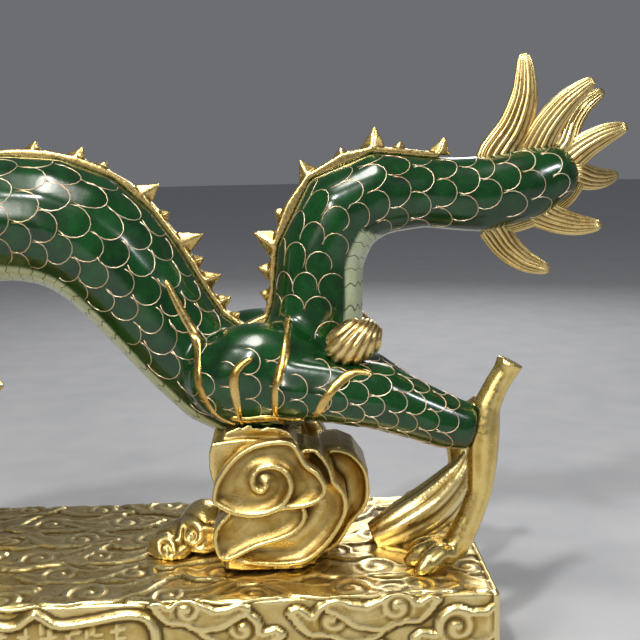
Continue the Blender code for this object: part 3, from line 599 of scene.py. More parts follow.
def fuse(piece, cell, passes):
    """Melt joined shells into one skin of small cells and smooth it."""
    choose([piece])
    skin = piece.modifiers.new("skin", "REMESH")
    skin.mode = "VOXEL"
    skin.voxel_size = cell
    bpy.ops.object.modifier_apply(modifier="skin")
    soft = piece.modifiers.new("soft", "SMOOTH")
    soft.factor = 0.5
    soft.iterations = passes
    bpy.ops.object.modifier_apply(modifier="soft")


def finish(piece, look, nodes=()):
    """Shade a finished piece, tie it to the body, and hide the CAD nodes it stands for."""
    piece.data.materials.clear()
    piece.data.materials.append(look)
    piece.data.shade_smooth()
    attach(piece, "root")
    if nodes:
        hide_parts(*nodes)


PLINTH_GILT = gilt("gilt_bronze_chased", "F2DE9E", "C5A454", "46330F", 0.31, 0.0020, 0.00012)
plinth = plinth_block()
carve_plinth(plinth)
mark_hollows(plinth, passes=6, depth=0.00048)
wave_profile = grooved_profile("wave_profile", 9, 0.11)
wave = drawn_tube("wave", WAVE_LINE, 0.0012, wave_profile)
store(wave, "matted", np.ones(len(wave.data.vertices)))
mark_hollows(wave, passes=3, depth=0.0005)
plinth = join_pieces("plinth_gilt", [plinth, wave])
finish(plinth, PLINTH_GILT, ["plinth"])

# Cloud support
# Scrolled cloud under the hips, cast in one piece from nested lobed sheets
# with thick rolled rims and a spiral on the front one, soldered to the top of
# the plinth and to the belly, and gilt with it.
# Outlines of the sheets as x and height above the plinth, in millimetres
SUPPORT_FRONT = ((67.8, 32.1), (69.0, 38.9), (73.2, 45.6), (79.2, 51.3), (86.8, 54.5), (98.1, 54.4),
                 (103.3, 45.9), (108.2, 41.7), (110.8, 36.0), (108.0, 31.6), (102.2, 29.4), (93.6, 28.8),
                 (85.8, 26.3), (75.7, 27.2))
SUPPORT_MIDDLE = ((71.6, 24.1), (68.3, 20.1), (67.6, 13.6), (71.1, 7.5), (83.0, 12.5), (92.5, 15.3),
                  (98.8, 18.3), (102.6, 23.5), (101.4, 28.5), (93.6, 32.0), (80.0, 32.0))
SUPPORT_SWEEP = ((72.5, 6.5), (85.0, 3.2), (100.1, 3.2), (107.0, 6.9), (112.5, 12.3), (117.0, 19.1),
                 (119.1, 24.9), (118.2, 31.5), (114.3, 36.1), (112.8, 41.5), (109.0, 47.3), (103.5, 49.2),
                 (82.0, 40.0))
SUPPORT_BACK = ((98.0, -1.0), (114.0, 3.0), (122.1, 14.0), (126.8, 19.1), (128.9, 25.0), (128.2, 34.8),
                (123.3, 41.7), (117.6, 44.2), (110.0, 43.8), (100.0, 40.0))
# Each sheet: outline, y of its face, which way it looks, depth of its dish, height of its soft folds
SUPPORT_SHEETS = ((SUPPORT_FRONT, -43.0, -1, 2.4, 0.0), (SUPPORT_MIDDLE, -40.0, -1, 1.5, 0.15),
                  (SUPPORT_SWEEP, -34.5, -1, 2.4, 0.35), (SUPPORT_BACK, -18.0, -1, 2.0, 0.25),
                  (SUPPORT_SWEEP, 30.0, 1, 2.4, 0.35))
RIM_RADIUS = 1.05
# Dish: how far inside the rim it starts and how quickly it deepens; pitch of the folds
DISH_START = 0.7
DISH_RUN = 2.6
FOLD_PITCH = 9.5
# How far from its face a sheet's points are taken, and the y of the spiral
SHEET_REACH = 2.6
SPIRAL_FACE = -42.8
# The front sheet's lower rim turns up into the spiral: x, height, radius
SPIRAL_KEYS = ((69.0, 30.6, 0.9), (75.7, 27.4, 1.1), (85.4, 26.7, 1.3), (93.6, 29.9, 1.4), (97.5, 36.0, 1.5),
               (96.8, 41.3, 1.4), (94.0, 44.4, 1.3), (89.8, 45.6, 1.3), (85.1, 44.6, 1.3), (82.7, 40.9, 1.4),
               (83.7, 37.0, 1.4), (86.4, 35.8, 1.4), (88.3, 38.3, 1.3), (87.2, 40.3, 0.7))
# Low stepped cloud left of the support: x, height, head's radius, turn, hand, lift
MOUND_CLOUDS = ((56.0, 7.5, 6.2, 10.0, 1, 0.3), (45.0, 3.5, 4.6, -10.0, -1, 0.6))
MOUND_EDGE = 65.5


def cad_copy(node, name):
    """Merged copy of a CAD node's mesh as a new object."""
    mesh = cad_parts[node].data.copy()
    mend(mesh, 0.000004, outward=False)
    return new_object(name, mesh)


def soften(piece, chosen, passes):
    """Smooth only the chosen points of a piece."""
    points = read_points(piece)
    mean_of = neighbour_means(piece)
    for _ in range(passes):
        points[chosen] = mean_of(points)[chosen]
    write_points(piece, points)


def support_cloud():
    """Nested dished sheets with thin rims, the front one's rim turned into a spiral, and the low mound."""
    parts = [cad_copy("cloud_support", "cloud_support_gilt")]
    base = PLINTH_HEIGHT * 1000
    for number, (outline, face, way, dish, fold) in enumerate(SUPPORT_SHEETS):
        keys = [(x / 1000, (face + 0.1 * way) / 1000, (z + base) / 1000, RIM_RADIUS / 1000)
                for x, z in smooth_line(outline + outline[:1], 2.5)]
        keys = [key for key in keys if key[2] > PLINTH_HEIGHT + 0.0008]
        parts.append(drawn_tube(f"rim_{number}", keys, 1.0))
    turns = [(x / 1000, SPIRAL_FACE / 1000, (z + base) / 1000, r / 1000) for x, z, r in SPIRAL_KEYS]
    parts.append(drawn_tube("spiral", turns, 0.0010))
    cloud = join_pieces("cloud_support_gilt", parts)
    fuse(cloud, cell=0.00065, passes=5)
    points = read_points(cloud)
    mound = points[:, 0] * 1000 < MOUND_EDGE
    soften(cloud, mound & (points[:, 2] > PLINTH_HEIGHT + 0.0010), passes=40)
    points = read_points(cloud)
    normals = normals_of(cloud)
    spiral = [(x, z) for x, z, r in smooth_line(SPIRAL_KEYS, 1.0)]
    taken = np.zeros(len(points), bool)
    across = points[:, 0] * 1000
    up = points[:, 2] * 1000 - base
    for outline, face, way, dish, fold in SUPPORT_SHEETS:
        distance, inside = outline_distance(across, up, smooth_line(outline, 2.0, closed=True))
        on_face = abs(points[:, 1] * 1000 - face) < SHEET_REACH
        mine = inside & ~taken & on_face & (normals[:, 1] * way > 0.2)
        if outline is SUPPORT_FRONT:
            to_spiral = np.min([np.hypot(across - x, up - z) for x, z in spiral], axis=0)
            distance = np.minimum(distance, to_spiral)
        sink = dish * (1 - np.exp(-np.clip(distance - DISH_START, 0, None) / DISH_RUN))
        sink -= fold * np.cos(2 * math.pi * distance / FOLD_PITCH) * ease(distance, 1.5, 4.0)
        points[mine, 1] -= way * sink[mine] / 1000
        taken |= mine
    relief = np.zeros(len(points))
    for place in MOUND_CLOUDS:
        carve_cloud(across, up, relief, place)
    raised = mound & (normals[:, 1] < -0.15)
    points[raised] += normals[raised] * relief[raised, None] / 1000
    write_points(cloud, points)
    return cloud


SUPPORT_GILT = gilt("gilt_bronze_matted", "ECD48C", "AF8A38", "35240A", 0.30, 0.0010, 0.00022)
support = support_cloud()
store(support, "matted", np.full(len(support.data.vertices), 0.45))
mark_hollows(support, passes=8, depth=0.0006)
finish(support, SUPPORT_GILT, ["cloud_support"])

# Body
# Copper body of the dragon with its thighs and shanks, covered with green
# cloisonne enamel. Each scale is a bent gilt wire soldered down before the
# enamel was fused round it; the belly is a pale band with dark cross lines.
# Centre line of the body as x, z, radius, from neck to tail
BODY_LINE = (
    (-0.1900, 0.2030, 0.0150), (-0.1810, 0.1840, 0.0175), (-0.1710, 0.1600, 0.0190),
    (-0.1560, 0.1370, 0.0210), (-0.1300, 0.1190, 0.0235), (-0.1040, 0.1270, 0.0215),
    (-0.0820, 0.1480, 0.0215), (-0.0540, 0.1720, 0.0240), (-0.0150, 0.1830, 0.0255),
    (0.0150, 0.1760, 0.0262), (0.0350, 0.1555, 0.0240), (0.0560, 0.1270, 0.0208),
    (0.0800, 0.1105, 0.0235), (0.1020, 0.1200, 0.0215), (0.1105, 0.1420, 0.0190),
    (0.1120, 0.1650, 0.0183), (0.1210, 0.1830, 0.0186), (0.1370, 0.1900, 0.0170),
    (0.1560, 0.1898, 0.0143), (0.1790, 0.1885, 0.0156), (0.1990, 0.1928, 0.0150),
    (0.2120, 0.1985, 0.0115), (0.2165, 0.2008, 0.0060),
)
# Centre line of a shank as x, y, z, radius
SHANK_LINE = ((0.1020, 0.0260, 0.1160, 0.0148), (0.1160, 0.0290, 0.1145, 0.0140),
              (0.1340, 0.0315, 0.1115, 0.0135), (0.1470, 0.0320, 0.1060, 0.0118),
              (0.1590, 0.0320, 0.1008, 0.0110), (0.1700, 0.0320, 0.0980, 0.0094))
FORE_SHIFT = -0.2190
# Each leg: side, shift in x, drop of the hock
LEGS = {"hind_near": (-1, 0.0, 0.0), "hind_far": (1, 0.0, 0.0140), "front_near": (-1, FORE_SHIFT, 0.0),
        "front_far": (1, FORE_SHIFT, 0.0100)}
# Where in x the drop of a far leg's hock starts and is full
DROP_START = 0.0960
DROP_END = 0.1700
# How far the enamel stands over the solid, and how far from a scale's middle its painted rim shade grows to
# full
ENAMEL_RISE = 0.00035
SCALE_REACH = 0.0062
# Plain stretches before the first scales and after the last ones
NECK_CLEAR = 0.010
TAIL_CLEAR = 0.014
# Scales on body and shanks: width, and pitch along them
SCALE_WIDTH = 0.0118
SCALE_PITCH = 0.0092
SHANK_WIDTH = 0.0096
SHANK_PITCH = 0.0074
# Scales on the thigh's outer face: width, pitch, and the field's middle and reach as x, z
THIGH_WIDTH = 0.0097
THIGH_PITCH = 0.0090
THIGH_FIELD = (0.0900, 0.1160)
THIGH_REACH = (0.0300, 0.0175)
# The thigh's last band in side view: x and height of its foot, and how far it runs in x for its height
LAST_BAND = (0.1015, 0.1010, 0.75)
# A wire: its radius, its points, and how far it swings to each side, in radians
WIRE_RADIUS = 0.00027
ARC_POINTS = 11
ARC_SWING = 2.02
# Clear margin beside the ridge, and the belly's edge by distance from the neck, in degrees from the back
RIDGE_MARGIN = 20.0
BELLY_RUNS = (0.0, 0.395, 0.410, 0.460, 0.475)
BELLY_EDGES = (132.0, 132.0, 120.0, 120.0, 156.0)
# Cross lines on the belly: pitch, the zigzag's pitch and swing
LINE_PITCH = 0.0080
ZIGZAG_PITCH = 0.0042
ZIGZAG_SWING = 0.0007
# Gilt bands over the thigh: half width at the ends, what the middle adds, rise, side view as x, z
BAND_END = 0.0009
BAND_SWELL = 0.0012
BAND_RISE = 0.0008
BAND_SIDES = 10
BAND_LINES = (
    ((0.0500, 0.1580), (0.0565, 0.1440), (0.0617, 0.1333), (0.0627, 0.1172), (0.0690, 0.1050),
     (0.0765, 0.1010)),
    ((0.0840, 0.1290), (0.0768, 0.1240), (0.0772, 0.1120), (0.0790, 0.1010)),
    ((0.0980, 0.1420), (0.0965, 0.1290), (0.0928, 0.1190), (0.0922, 0.1060), (0.0950, 0.1010)),
    ((0.1300, 0.1222), (0.1227, 0.1235), (0.1135, 0.1165), (0.1085, 0.1070), (0.1035, 0.1010)),
    ((0.0745, 0.1045), (0.0820, 0.1030), (0.0890, 0.1045), (0.0950, 0.1035), (0.1035, 0.1035)),
)


def body_skin():
    """Fine smooth skin over the body, thighs and shanks."""
    skin = cad_copy("body", "body_enamel")
    fuse(skin, cell=0.0013, passes=26)
    write_points(skin, read_points(skin) + normals_of(skin) * ENAMEL_RISE)
    return skin


class BodyAxis:
    """The body's centre line as places, directions and radii by distance from the neck."""

    def __init__(self):
        line = np.array(smooth_line(BODY_LINE, 0.0015))
        steps = np.hypot(np.diff(line[:, 0]), np.diff(line[:, 1]))
        self.run = np.concatenate(([0.0], np.cumsum(steps)))
        self.x, self.z, self.radius = line.T
        self.tangent = np.stack((np.gradient(self.x), np.gradient(self.z)), 1)
        self.tangent /= np.linalg.norm(self.tangent, axis=1)[:, None]

    def at(self, run):
        """Place, tangent, outward normal and radius at a distance."""
        x, z, radius = (np.interp(run, self.run, row) for row in (self.x, self.z, self.radius))
        across, up = (np.interp(run, self.run, row) for row in self.tangent.T)
        tangent = Vector((across, 0.0, up)).normalized()
        return Vector((x, 0.0, z)), tangent, Vector((-tangent.z, 0.0, tangent.x)), radius


def lay_wire(wires, spot, run, around, half_width, size, length, draw):
    """Add one bent wire, open towards the head, unless it crumples in a bend or tears over an edge."""
    lean = draw.uniform(-0.10, 0.10)
    first = -ARC_SWING + draw.uniform(-0.10, 0.25)
    last = ARC_SWING - draw.uniform(-0.10, 0.25)
    arc = []
    for number in range(ARC_POINTS):
        angle = first + (last - first) * number / (ARC_POINTS - 1)
        ahead = length - size * (1 - math.cos(angle)) + lean * size * math.sin(angle)
        hit = spot(run + ahead, around + half_width * math.sin(angle))
        if hit is not None:
            arc.append(hit)
    if len(arc) < 5:
        return
    longest = max((a - b).length for a, b in zip(arc, arc[1:]))
    spread = max((a - arc[0]).length for a in arc)
    if longest < 0.75 * size and spread > size:
        wires.append(arc)


def body_scales(tree, axis, draw):
    """Wires and scale centres in staggered rows over both sides of the body."""
    wires = []
    centres = []
    low = math.radians(RIDGE_MARGIN)

    def spot_on(side):
        def spot(run, across):
            if not low * 0.75 < across < math.radians(np.interp(run, BELLY_RUNS, BELLY_EDGES)):
                return None
            place, tangent, normal, radius = axis.at(run)
            outward = normal * math.cos(across) + Vector((0, side, 0)) * math.sin(across)
            return tree.ray_cast(place, outward)[0]
        return spot

    for row in range(int((axis.run[-1] - TAIL_CLEAR) / SCALE_PITCH)):
        run = NECK_CLEAR + row * SCALE_PITCH
        radius = axis.at(run + SCALE_PITCH)[3]
        high = math.radians(np.interp(run, BELLY_RUNS, BELLY_EDGES))
        fit = max(3, round((high - low) * radius / SCALE_WIDTH))
        spread = (high - low) / fit
        for side in (-1, 1):
            spot = spot_on(side)
            for number in range(fit + 1):
                around = low + spread * (number + 0.5 * (row % 2)) + draw.uniform(-0.02, 0.02)
                middle = spot(run + SCALE_PITCH * 0.45, around)
                if middle is None:
                    continue
                centres.append(middle)
                if (middle - axis.at(run + SCALE_PITCH * 0.45)[0]).length > radius + 0.004:
                    continue
                lay_wire(wires, spot, run + draw.uniform(-0.0004, 0.0004), around, spread * 0.50,
                         spread * radius * 0.50, SCALE_PITCH * draw.uniform(1.00, 1.08), draw)
    return wires, centres


def past_last_band(x, z):
    """Whether a place in side view lies beyond the thigh's last band, on the shank."""
    return x > LAST_BAND[0] + (z - LAST_BAND[1]) * LAST_BAND[2]


def beside(tree, x, side, z):
    """Where a level line from one side meets the skin, and the skin's normal there."""
    return tree.ray_cast(Vector((x, side * 0.1, z)), Vector((0.0, -side, 0.0)))[:2]


def thigh_scales(tree, draw):
    """Wires and scale centres in staggered rows on the outer faces of the thighs, between the bands."""
    wires = []
    centres = []
    for side, shift, drop in LEGS.values():

        def spot(x, z):
            away = math.hypot((x - THIGH_FIELD[0]) / THIGH_REACH[0], (z - THIGH_FIELD[1]) / THIGH_REACH[1])
            return None if away > 1.0 else beside(tree, x + shift, side, z)[0]

        for row in range(8):
            x = THIGH_FIELD[0] - THIGH_REACH[0] + row * THIGH_PITCH
            for number in range(5):
                z = THIGH_FIELD[1] - THIGH_REACH[1] + (number + 0.5 * (row % 2)) * THIGH_WIDTH
                middle = spot(x + THIGH_PITCH * 0.5, z)
                if middle is None or past_last_band(x + THIGH_PITCH * 0.5, z):
                    continue
                centres.append(middle)
                lay_wire(wires, spot, x, z, THIGH_WIDTH * 0.5, THIGH_WIDTH * 0.5, THIGH_PITCH, draw)
    return wires, centres


def shank_scales(tree, draw):
    """Wires and scale centres round the four shanks, open towards the thigh."""
    wires = []
    centres = []
    for side, shift, drop in LEGS.values():
        line = []
        for x, y, z, radius in smooth_line(SHANK_LINE, 0.001):
            far = min(max((x - DROP_START) / (DROP_END - DROP_START), 0.0), 1.0)
            line.append((x + shift, side * y, z - drop * far, radius))
        line = np.array(line)
        run_at = np.concatenate(([0.0], np.cumsum(np.linalg.norm(np.diff(line[:, :3], axis=0), axis=1))))

        def spot(run, across):
            if run > run_at[-1] - 0.002:
                return None
            here = Vector([np.interp(run, run_at, line[:, k]) for k in range(3)])
            next_one = Vector([np.interp(run + 0.002, run_at, line[:, k]) for k in range(3)])
            tangent = (next_one - here).normalized()
            up = Vector((0.0, 1.0, 0.0)).cross(tangent) * -1
            hit = tree.ray_cast(here, up * math.cos(across) + Vector((0, side, 0)) * math.sin(across))[0]
            return None if hit is None or (hit - here).length > 0.022 else hit

        for row in range(int(run_at[-1] / SHANK_PITCH)):
            run = 0.004 + row * SHANK_PITCH
            radius = np.interp(run, run_at, line[:, 3])
            fit = max(5, round(2 * math.pi * radius / SHANK_WIDTH))
            spread = 2 * math.pi / fit
            for number in range(fit):
                around = spread * (number + 0.5 * (row % 2))
                middle = spot(run + 0.004, around)
                if middle is None or not past_last_band(middle.x - shift, middle.z):
                    continue
                centres.append(middle)
                lay_wire(wires, spot, run, around, spread * 0.5, spread * radius * 0.5,
                         SHANK_PITCH * draw.uniform(1.0, 1.08), draw)
    return wires, centres


def mark_enamel(skin, axis, centres, draw):
    """Store each point's place along and around the body and the tone of its scale."""
    points = read_points(skin)
    station_tree = KDTree(len(axis.run))
    for number, (x, z) in enumerate(zip(axis.x, axis.z)):
        station_tree.insert((x, 0.0, z), number)
    station_tree.balance()
    nearest = np.array([station_tree.find((x, 0.0, z))[1] for x, y, z in points])
    scale_tree = KDTree(len(centres))
    tones = [draw.uniform(0.0, 1.0) for _ in centres]
    for number, centre in enumerate(centres):
        scale_tree.insert(centre, number)
    scale_tree.balance()
    found = [scale_tree.find(tuple(point)) for point in points]
    tangent = axis.tangent[nearest]
    away_x = points[:, 0] - axis.x[nearest]
    away_z = points[:, 2] - axis.z[nearest]
    outward = -tangent[:, 1] * away_x + tangent[:, 0] * away_z
    around = np.degrees(np.arctan2(abs(points[:, 1]), outward))
    off_axis = np.hypot(outward, points[:, 1]) - axis.radius[nearest]
    limb = ease(off_axis, 0.0015, 0.0040)
    store(skin, "along", axis.run[nearest] + away_x * tangent[:, 0] + away_z * tangent[:, 1])
    store(skin, "across", points[:, 1])
    edges = np.interp(axis.run[nearest], BELLY_RUNS, BELLY_EDGES)
    store(skin, "belly", ease(around - edges, 1, 6) * (1 - limb))
    # back: painted shade, a darker band along the top of the body beside the ridge
    store(skin, "back", (1 - ease(around, RIDGE_MARGIN - 6, RIDGE_MARGIN + 8)) * (1 - limb))
    store(skin, "tone", [tones[number] for spot, number, distance in found])
    # rim: painted shade, growing from each scale's middle out to its wire rim
    store(skin, "rim", np.clip([distance / SCALE_REACH for spot, number, distance in found], 0.0, 1.0))


def green_enamel():
    """Fused glass enamel: deep clear green with lighter specks, glossy, pale with dark lines on the belly,
    with painted shade towards each scale's rim and along the back.
    """
    made, tree, shader, place = new_material("cloisonne_enamel")
    tone, rim, belly, back, along, across = (
        add(tree, "Attribute", attribute_name=kept).outputs["Fac"]
        for kept in ("tone", "rim", "belly", "back", "along", "across"))
    mottle = add(tree, "TexNoise", {"Vector": place, "Scale": 1 / 0.006, "Detail": 5.0, "Roughness": 0.7})
    blend = add(tree, "Math", {0: tone, 1: 0.22, 2: mottle.outputs["Fac"]}, operation="MULTIPLY_ADD")
    # Painted shade: each scale darker towards its wire rim
    rim_shaded_blend = add(tree, "Math", {0: rim, 1: -0.16, 2: blend.outputs[0]}, operation="MULTIPLY_ADD")
    greens = add(tree, "ValToRGB", {"Fac": rim_shaded_blend.outputs[0]},
                 stops=((0.25, "032208"), (0.50, "06350F"), (0.85, "0B4717")))
    grains = add(tree, "TexVoronoi", {"Vector": place, "Scale": 1 / 0.0009})
    speck = add(tree, "MapRange", {"Value": grains.outputs["Distance"], "From Min": 0.20, "From Max": 0.05,
                                   "To Max": 0.35})
    specked = add(tree, "Mix", {"Factor": speck.outputs["Result"], 6: greens.outputs["Color"],
                                7: linear("3A7A2C")}, data_type="RGBA")
    # Painted shade: the enamel darkened in a band along the back beside the ridge
    shaded = add(tree, "Mix", {"Factor": back, 6: specked.outputs[2], 7: linear("083012")}, data_type="RGBA")
    zigzag = add(tree, "Math", {0: across, 1: 2 * math.pi / ZIGZAG_PITCH}, operation="MULTIPLY")
    zag = add(tree, "Math", {0: zigzag.outputs[0]}, operation="SINE")
    rung = add(tree, "Math", {0: zag.outputs[0], 1: ZIGZAG_SWING, 2: along}, operation="MULTIPLY_ADD")
    phase = add(tree, "Math", {0: rung.outputs[0], 1: LINE_PITCH}, operation="MODULO")
    middle = add(tree, "Math", {0: phase.outputs[0], 1: LINE_PITCH / 2}, operation="SUBTRACT")
    off = add(tree, "Math", {0: middle.outputs[0]}, operation="ABSOLUTE")
    line = add(tree, "MapRange", {"Value": off.outputs[0], "From Min": 0.0005, "From Max": 0.0002,
                                  "To Max": 0.8})
    cream = add(tree, "ValToRGB", {"Fac": mottle.outputs["Fac"]}, stops=((0.35, "A9B58C"), (0.65, "C3C9A6")))
    lined = add(tree, "Mix", {"Factor": line.outputs["Result"], 6: cream.outputs["Color"],
                              7: linear("3E3A22")}, data_type="RGBA")
    whole = add(tree, "Mix", {"Factor": belly, 6: shaded.outputs[2], 7: lined.outputs[2]}, data_type="RGBA")
    ripple = add(tree, "TexNoise", {"Vector": place, "Scale": 1 / 0.0045, "Detail": 2.0})
    bump = add(tree, "Bump", {"Height": ripple.outputs["Fac"], "Strength": 0.12, "Distance": 0.0004})
    plug(tree, shader, {"Base Color": whole.outputs[2], "Roughness": 0.20, "IOR": 1.52, "Coat Weight": 0.25,
                        "Coat Roughness": 0.05, "Normal": bump.outputs["Normal"]})
    return made


def wire_gilt():
    """Thin gilt copper wire, ground flush and polished, so pale and bright."""
    made, tree, shader, place = new_material("gilt_wire")
    wear = add(tree, "TexNoise", {"Vector": place, "Scale": 1 / 0.008, "Detail": 2.0})
    tone = add(tree, "ValToRGB", {"Fac": wear.outputs["Fac"]}, stops=((0.35, "CDAE86"), (0.65, "EBD7B8")))
    plug(tree, shader, {"Base Color": tone.outputs["Color"], "Metallic": 0.85, "Roughness": 0.34})
    return made


def thigh_bands(tree, draw):
    """Places, outward directions and half widths along the gilt strips over the thighs."""
    straps = []
    for leg, (side, shift, drop) in LEGS.items():
        for number, line in enumerate(BAND_LINES):
            if number and leg != "hind_near":
                continue
            strap = []
            shifted = smooth_line([(x + shift, z) for x, z in line], 0.0016)
            for spot, (x, z) in enumerate(shifted):
                hit, out = beside(tree, x, side, z)
                if hit is None or abs(hit.y) < 0.004:
                    continue
                share = spot / (len(shifted) - 1)
                swell = math.sin(math.pi * min(share * 1.15, 1.0)) ** 0.6
                strap.append([hit, out, BAND_END + BAND_SWELL * swell + draw.uniform(-0.00006, 0.00006)])
            for _ in range(4):
                for before, here, after in zip(strap, strap[1:], strap[2:]):
                    here[0] = (before[0] + 2 * here[0] + after[0]) / 4
                    here[1] = (before[1] + 2 * here[1] + after[1]).normalized()
            if len(strap) > 3:
                straps.append(strap)
    return straps


def strap_mesh(name, straps):
    """Low straps lying on the skin, oval in section, one closed bar each."""
    points = []
    faces = []
    for strap in straps:
        first = len(points)
        for number, (place, out, width) in enumerate(strap):
            ahead = strap[min(number + 1, len(strap) - 1)][0] - strap[max(number - 1, 0)][0]
            across = out.cross(ahead).normalized()
            for corner in range(BAND_SIDES):
                angle = 2 * math.pi * corner / BAND_SIDES
                points.append(place + across * width * math.cos(angle) + out * BAND_RISE * math.sin(angle))
        for ring in range(len(strap) - 1):
            for corner in range(BAND_SIDES):
                a = first + ring * BAND_SIDES + corner
                b = first + ring * BAND_SIDES + (corner + 1) % BAND_SIDES
                faces.append((a, b, b + BAND_SIDES, a + BAND_SIDES))
        faces.append(tuple(range(first, first + BAND_SIDES)))
        faces.append(tuple(range(len(points) - BAND_SIDES, len(points))))
    mesh = bpy.data.meshes.new(name)
    mesh.from_pydata(points, [], faces)
    mend(mesh, 0.0000005)
    return new_object(name, mesh)


body = body_skin()
bpy.context.view_layer.update()
body_tree = BVHTree.FromObject(body, bpy.context.evaluated_depsgraph_get())
body_axis = BodyAxis()
scale_draw = random.Random(3)
scale_wires, scale_centres = body_scales(body_tree, body_axis, scale_draw)
thigh_wires, thigh_centres = thigh_scales(body_tree, scale_draw)
shank_wires, shank_centres = shank_scales(body_tree, scale_draw)
mark_enamel(body, body_axis, scale_centres + thigh_centres + shank_centres, scale_draw)
finish(body, green_enamel(), ["body"])

wire_paths = [[(*spot, WIRE_RADIUS) for spot in arc] for arc in scale_wires + thigh_wires + shank_wires]
wires = from_curve("scale_wires", curve_through("scale_wires", wire_paths, 0), 0.0000005)
finish(wires, wire_gilt())

BAND_GILT = gilt("gilt_band", "F0D890", "C49C48", "4A3514", 0.25, 0.0016, 0.00008)
bands = strap_mesh("thigh_bands", thigh_bands(body_tree, scale_draw))
finish(bands, BAND_GILT)

# Ridge
# Cast strip of fins along the back, a large one and a small one in turn,
# soldered on before enamelling and gilt afterwards.
# How far the gilt skin stands over the solid
RIDGE_RISE = 0.0003
RIDGE_GILT = gilt("gilt_ridge", "E6C77C", "A88336", "2A1B08", 0.27, 0.0014, 0.00012)
ridge = cad_copy("dorsal_ridge", "dorsal_ridge_gilt")
fuse(ridge, cell=0.00060, passes=4)
write_points(ridge, read_points(ridge) + normals_of(ridge) * RIDGE_RISE)
mark_hollows(ridge, passes=14, depth=0.0006)
finish(ridge, RIDGE_GILT, ["dorsal_ridge"])

# Tail tuft
# Seven flame-like locks of hair round the tail's end, cast with grooves along
# their length and gilt; their roots close the end of the enamelled tube.
# Each lock: root and tip as x, z, half width, bow, lean of the tip in y
TUFT_LOCKS = (
    ((0.1850, 0.2040), (0.1962, 0.2450), 0.0062, 0.0050, 0.0),
    ((0.2010, 0.2060), (0.2233, 0.2335), 0.0056, -0.0030, -0.006),
    ((0.2120, 0.2080), (0.2303, 0.2295), 0.0050, -0.0035, 0.005),
    ((0.2160, 0.2030), (0.2380, 0.2150), 0.0050, -0.0015, -0.004),
    ((0.2170, 0.1965), (0.2372, 0.1953), 0.0048, 0.0020, 0.006),
    ((0.2030, 0.1806), (0.2275, 0.1752), 0.0050, 0.0020, -0.006),
    ((0.1840, 0.1745), (0.2078, 0.1566), 0.0052, 0.0035, 0.0),
)
LOCK_FLAT = 0.62
# A lock's width along its length, in shares of both
LOCK_WIDTHS = ((-0.12, 1.10), (0.0, 1.28), (0.3, 1.12), (0.6, 0.92), (0.82, 0.68), (0.95, 0.46), (1.0, 0.24))
# Where the roots' rim starts, by distance from the neck, and its radius
TUFT_START = 0.5230
TUFT_RIM = 0.0026


def tuft_lock(number, profile):
    """One grooved lock from its root to its blunt tip."""
    root, tip, half_width, bow, lean = TUFT_LOCKS[number]
    start = Vector((root[0], 0.0, root[1]))
    end = Vector((tip[0], lean, tip[1]))
    side = Vector((end.z - start.z, 0.0, start.x - end.x)).normalized()
    keys = []
    for share, width in LOCK_WIDTHS:
        spot = start.lerp(end, share) + side * bow * math.sin(math.pi * max(share, 0.0))
        keys.append((spot.x, spot.y, spot.z, half_width * width))
    return drawn_tube(f"lock_{number}", keys, 0.0012, profile, flat=LOCK_FLAT)


lock_profile = grooved_profile("lock_profile", 16, 0.15)
tuft_parts = [tuft_lock(number, lock_profile) for number in range(len(TUFT_LOCKS))]
rim_keys = []
for way in (1, -1):
    half = []
    for rim_run in np.arange(TUFT_START, body_axis.run[-1], 0.004):
        rim_place, rim_tangent, rim_normal, rim_radius = body_axis.at(rim_run)
        rim_spot = rim_place + rim_normal * rim_radius * way
        half.append((rim_spot.x, 0.0, rim_spot.z, TUFT_RIM))
    rim_keys += half if way == 1 else half[::-1]
tuft_parts.append(drawn_tube("tuft_root", rim_keys, 0.002, lock_profile))
tuft = join_pieces("tail_tuft_gilt", tuft_parts)
TUFT_GILT = gilt("gilt_hair", "ECD28E", "AC8236", "241604", 0.29, 0.0018, 0.00006)
mark_hollows(tuft, passes=3, depth=0.00035)
finish(tuft, TUFT_GILT, ["tail_tuft"])

# Head
# Cast head with horns, ears, mane, whiskers and beard, gilt all over, set on
# the neck's end; the locks are grooved, the eyes are dark enamel beads.
# How far the gilt skin stands over the solid
HEAD_RISE = 0.0002
HEAD_NAPE = Vector((-0.1880, 0.0, 0.2060))
HEAD_SCALE = 1.18
# Locks of one side in the head's own drawing: start, end, half width
HEAD_LOCKS = (((-0.1890, 0.0118, 0.2108), (-0.1560, 0.0270, 0.2165), 0.0050),
              ((-0.1910, 0.0125, 0.2050), (-0.1540, 0.0290, 0.1990), 0.0052),
              ((-0.1950, 0.0070, 0.2040), (-0.1640, 0.0260, 0.1800), 0.0048))
# A lock's width and rise along its length
MANE_WIDTHS = ((0.05, 0.8, 0.0), (0.4, 1.0, 0.002), (0.75, 0.75, -0.001), (1.0, 0.22, 0.002))
EYE_PLACE = (-0.2094, 0.0148, 0.2168)
EYE_RADIUS = 0.0026


def on_head(x, y, z):
    """Place of the head's drawing in the frame."""
    return HEAD_NAPE + HEAD_SCALE * (Vector((x, y, z)) - HEAD_NAPE)


def head_locks(profile):
    """Grooved locks of the mane on both sides of the head."""
    locks = []
    for side in (-1, 1):
        for number, (start, end, width) in enumerate(HEAD_LOCKS):
            keys = []
            for share, size, rise in MANE_WIDTHS:
                spot = Vector(start).lerp(Vector(end), share)
                place = on_head(spot.x, side * spot.y, spot.z + rise)
                keys.append((*place, HEAD_SCALE * width * size))
            locks.append(drawn_tube(f"mane_{number}_{side + 1}", keys, 0.0015, profile))
    return locks


def on_skull(piece):
    """Which points belong to the skull, snout and jaw, not to horns, mane or whiskers."""
    drawn = (read_points(piece) - np.array(HEAD_NAPE)) / HEAD_SCALE + np.array(HEAD_NAPE)
    x, y, z = drawn.T
    wide = np.where(x < -0.2220, 0.0105, 0.0170)
    return (x < -0.1800) & (abs(y) < wide) & (z > 0.1840) & (z < 0.2290)


